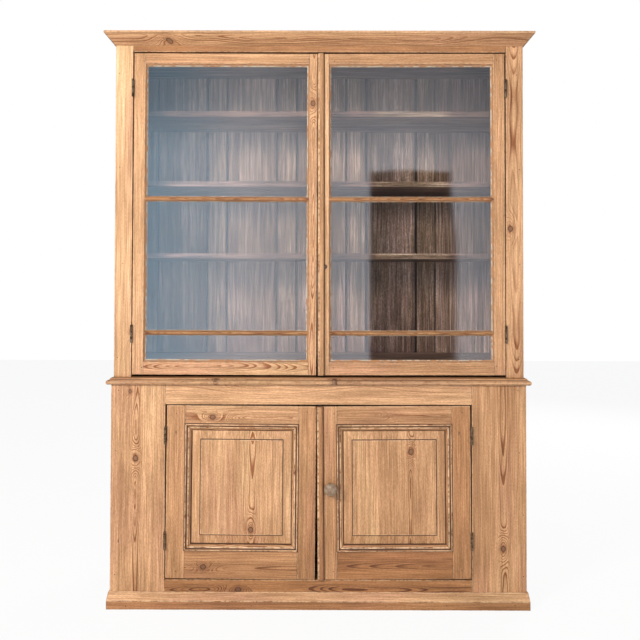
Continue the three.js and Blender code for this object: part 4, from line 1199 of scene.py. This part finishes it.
for node in ("lock_case", "lock_bolt", "upper_left_bolt", "lower_left_bolt"):
    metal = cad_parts[node]
    metal.data.materials.clear()
    metal.data.materials.append(bright_iron if "bolt" in node else old_iron)
low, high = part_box("lock_case")
inset = 0.006
lock_screws = [in_a_row(screw_head("screw", math.pi / 2), bright_iron, 2, (low.x + inset, high.y, z),
                        (high.x - low.x - 2 * inset, 0, 0), 4, spin=(0, 6.28, 0))
               for z in (low.z + inset, high.z - inset)]
hold(joined("lock_screws", lock_screws, bright_iron), "upper_right_door", "iron")

foot_wide, clear, gauge, strap_tall, bolt_deep = 0.009, 0.0008, 0.0011, 0.010, 0.0066
for level, face in (("upper", upper_face), ("lower", lower_face)):
    low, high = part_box(f"{level}_left_bolt")
    wide = high.x - low.x
    outline = [(-foot_wide, 0), (-clear, 0), (-clear, bolt_deep), (wide + clear, bolt_deep), (wide + clear, 0),
               (wide + foot_wide, 0), (wide + foot_wide, gauge), (wide + clear + gauge, gauge),
               (wide + clear + gauge, bolt_deep + gauge), (-clear - gauge, bolt_deep + gauge),
               (-clear - gauge, gauge), (-foot_wide, gauge)]
    straps = Stock()
    for z in (low.z + 0.036, high.z - 0.034):
        straps.length([(a, d, 0) for a, d in outline], Vector((low.x, face + door_thick + hair, z)), upwards,
                      across_x, rearwards, strap_tall, wear=0)
    hold(straps.piece(f"{level}_bolt_straps", old_iron), f"{level}_left_door", "iron")


# ---------------------------------------------------------------- turned knob
# A turned hardwood knob, its finish worn to grey on the crown, on a round spindle through the
# stile that works a wooden turn behind the door.
low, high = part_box("knob")
spindle = 0.0056
spindle_end = lower_face - high.y
knob_profile = [
    (0, spindle_end), (spindle, spindle_end), (spindle, 0.0006), (0.0125, 0.0006), (0.0138, 0.0016),
    (0.0142, 0.0034), (0.0136, 0.0052), (0.0118, 0.0066), (0.0106, 0.0084), (0.0104, 0.0104), (0.0110, 0.0126),
    (0.0134, 0.0150), (0.0176, 0.0176), (0.0212, 0.0206), (0.0234, 0.0242), ((high.x - low.x) / 2, 0.0278),
    (0.0235, 0.0312), (0.0214, 0.0344), (0.0180, 0.0372), (0.0138, 0.0394), (0.0092, 0.0409), (0.0045, 0.0417),
    (0, lower_face - low.y)]
knob_wood, tree = new_material("worn_knob_wood")
stretched = add(tree, "ShaderNodeMapping", {"Vector": own_place(tree), "Scale": (1.0, 0.12, 1.0)})[0]
fibre = clouds(tree, stretched, 420.0, 4.0)["Fac"]
worn = clouds(tree, own_place(tree), 75.0, 4.0)["Fac"]
crown = own_place(tree).split()[1].between(lower_face - 0.020, lower_face - 0.036)
brown = fibre.between(0.35, 0.65).mix(display(134, 98, 68), display(92, 64, 44))
knob_colour = (crown * worn.between(0.36, 0.66, 0.2, 0.75)).mix(brown, display(160, 144, 124))
surface(tree, knob_colour, worn.between(0.3, 0.7, 0.34, 0.52), fibre, 0.3, 0.0004)
knob_place = ((low.x + high.x) / 2, lower_face, (low.z + high.z) / 2)
hold(turned("turned_knob", knob_profile, 48, knob_wood, True, knob_place), "turn_knob", "knob_wood", "knob")

turn = Stock()
turn.board_between(*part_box("turn_catch"), 2, 0, knot=(0.5, 3), tone=0.7, wear=0.0006, step=0.01)
hold(turn.piece("wooden_turn", waxed_pine), "turn_knob", "knob_wood", "turn_catch")


# ---------------------------------------------------------------- nails
# Small cut nails hold the plinth and the frames, their heads set just under the wax
# and gone dark.
nail_profile = [(0, -0.002), (0.0017, -0.002), (0.0022, -0.0002), (0.0018, 0.0001), (0, 0.00015)]


def nails(name, body_name, rows):
    """Rows of nail heads facing forwards: (start, end, count)."""
    heads = []
    for number, (start, end, count) in enumerate(rows):
        step = (Vector(end) - Vector(start)) / max(1, count - 1)
        heads.append(in_a_row(turned("nail", nail_profile, 10, None, True), blackened, count, tuple(start),
                              tuple(step), 21 + number, jitter=(0.012, 0, 0.004)))
    hold(joined(name, heads, blackened), body_name, "iron")


stile_x = 0.735
case_rows = [((-0.70, lower_face - plinth_out, 0.016), (0.70, lower_face - plinth_out, 0.016), 7)]
for face, top, foot in ((lower_face, 0.79, 0.12), (upper_face, 1.95, 0.90)):
    case_rows += [((x, face, top), (x, face, foot), 4) for x in (-stile_x, stile_x)]
nails("case_nails", "case", case_rows)
for face, leaves in ((upper_face, upper_leaves), (lower_face, lower_leaves)):
    for side, leaf in leaves.items():
        near = leaf.left + (0.028 if side == "left" else 0.052)
        rows = [((near, face, z), (leaf.right - 0.028, face, z), 2) for z in (leaf.bottom + 0.03, leaf.top - 0.024)]
        nails(f"{leaf.body}_nails", leaf.body, rows)
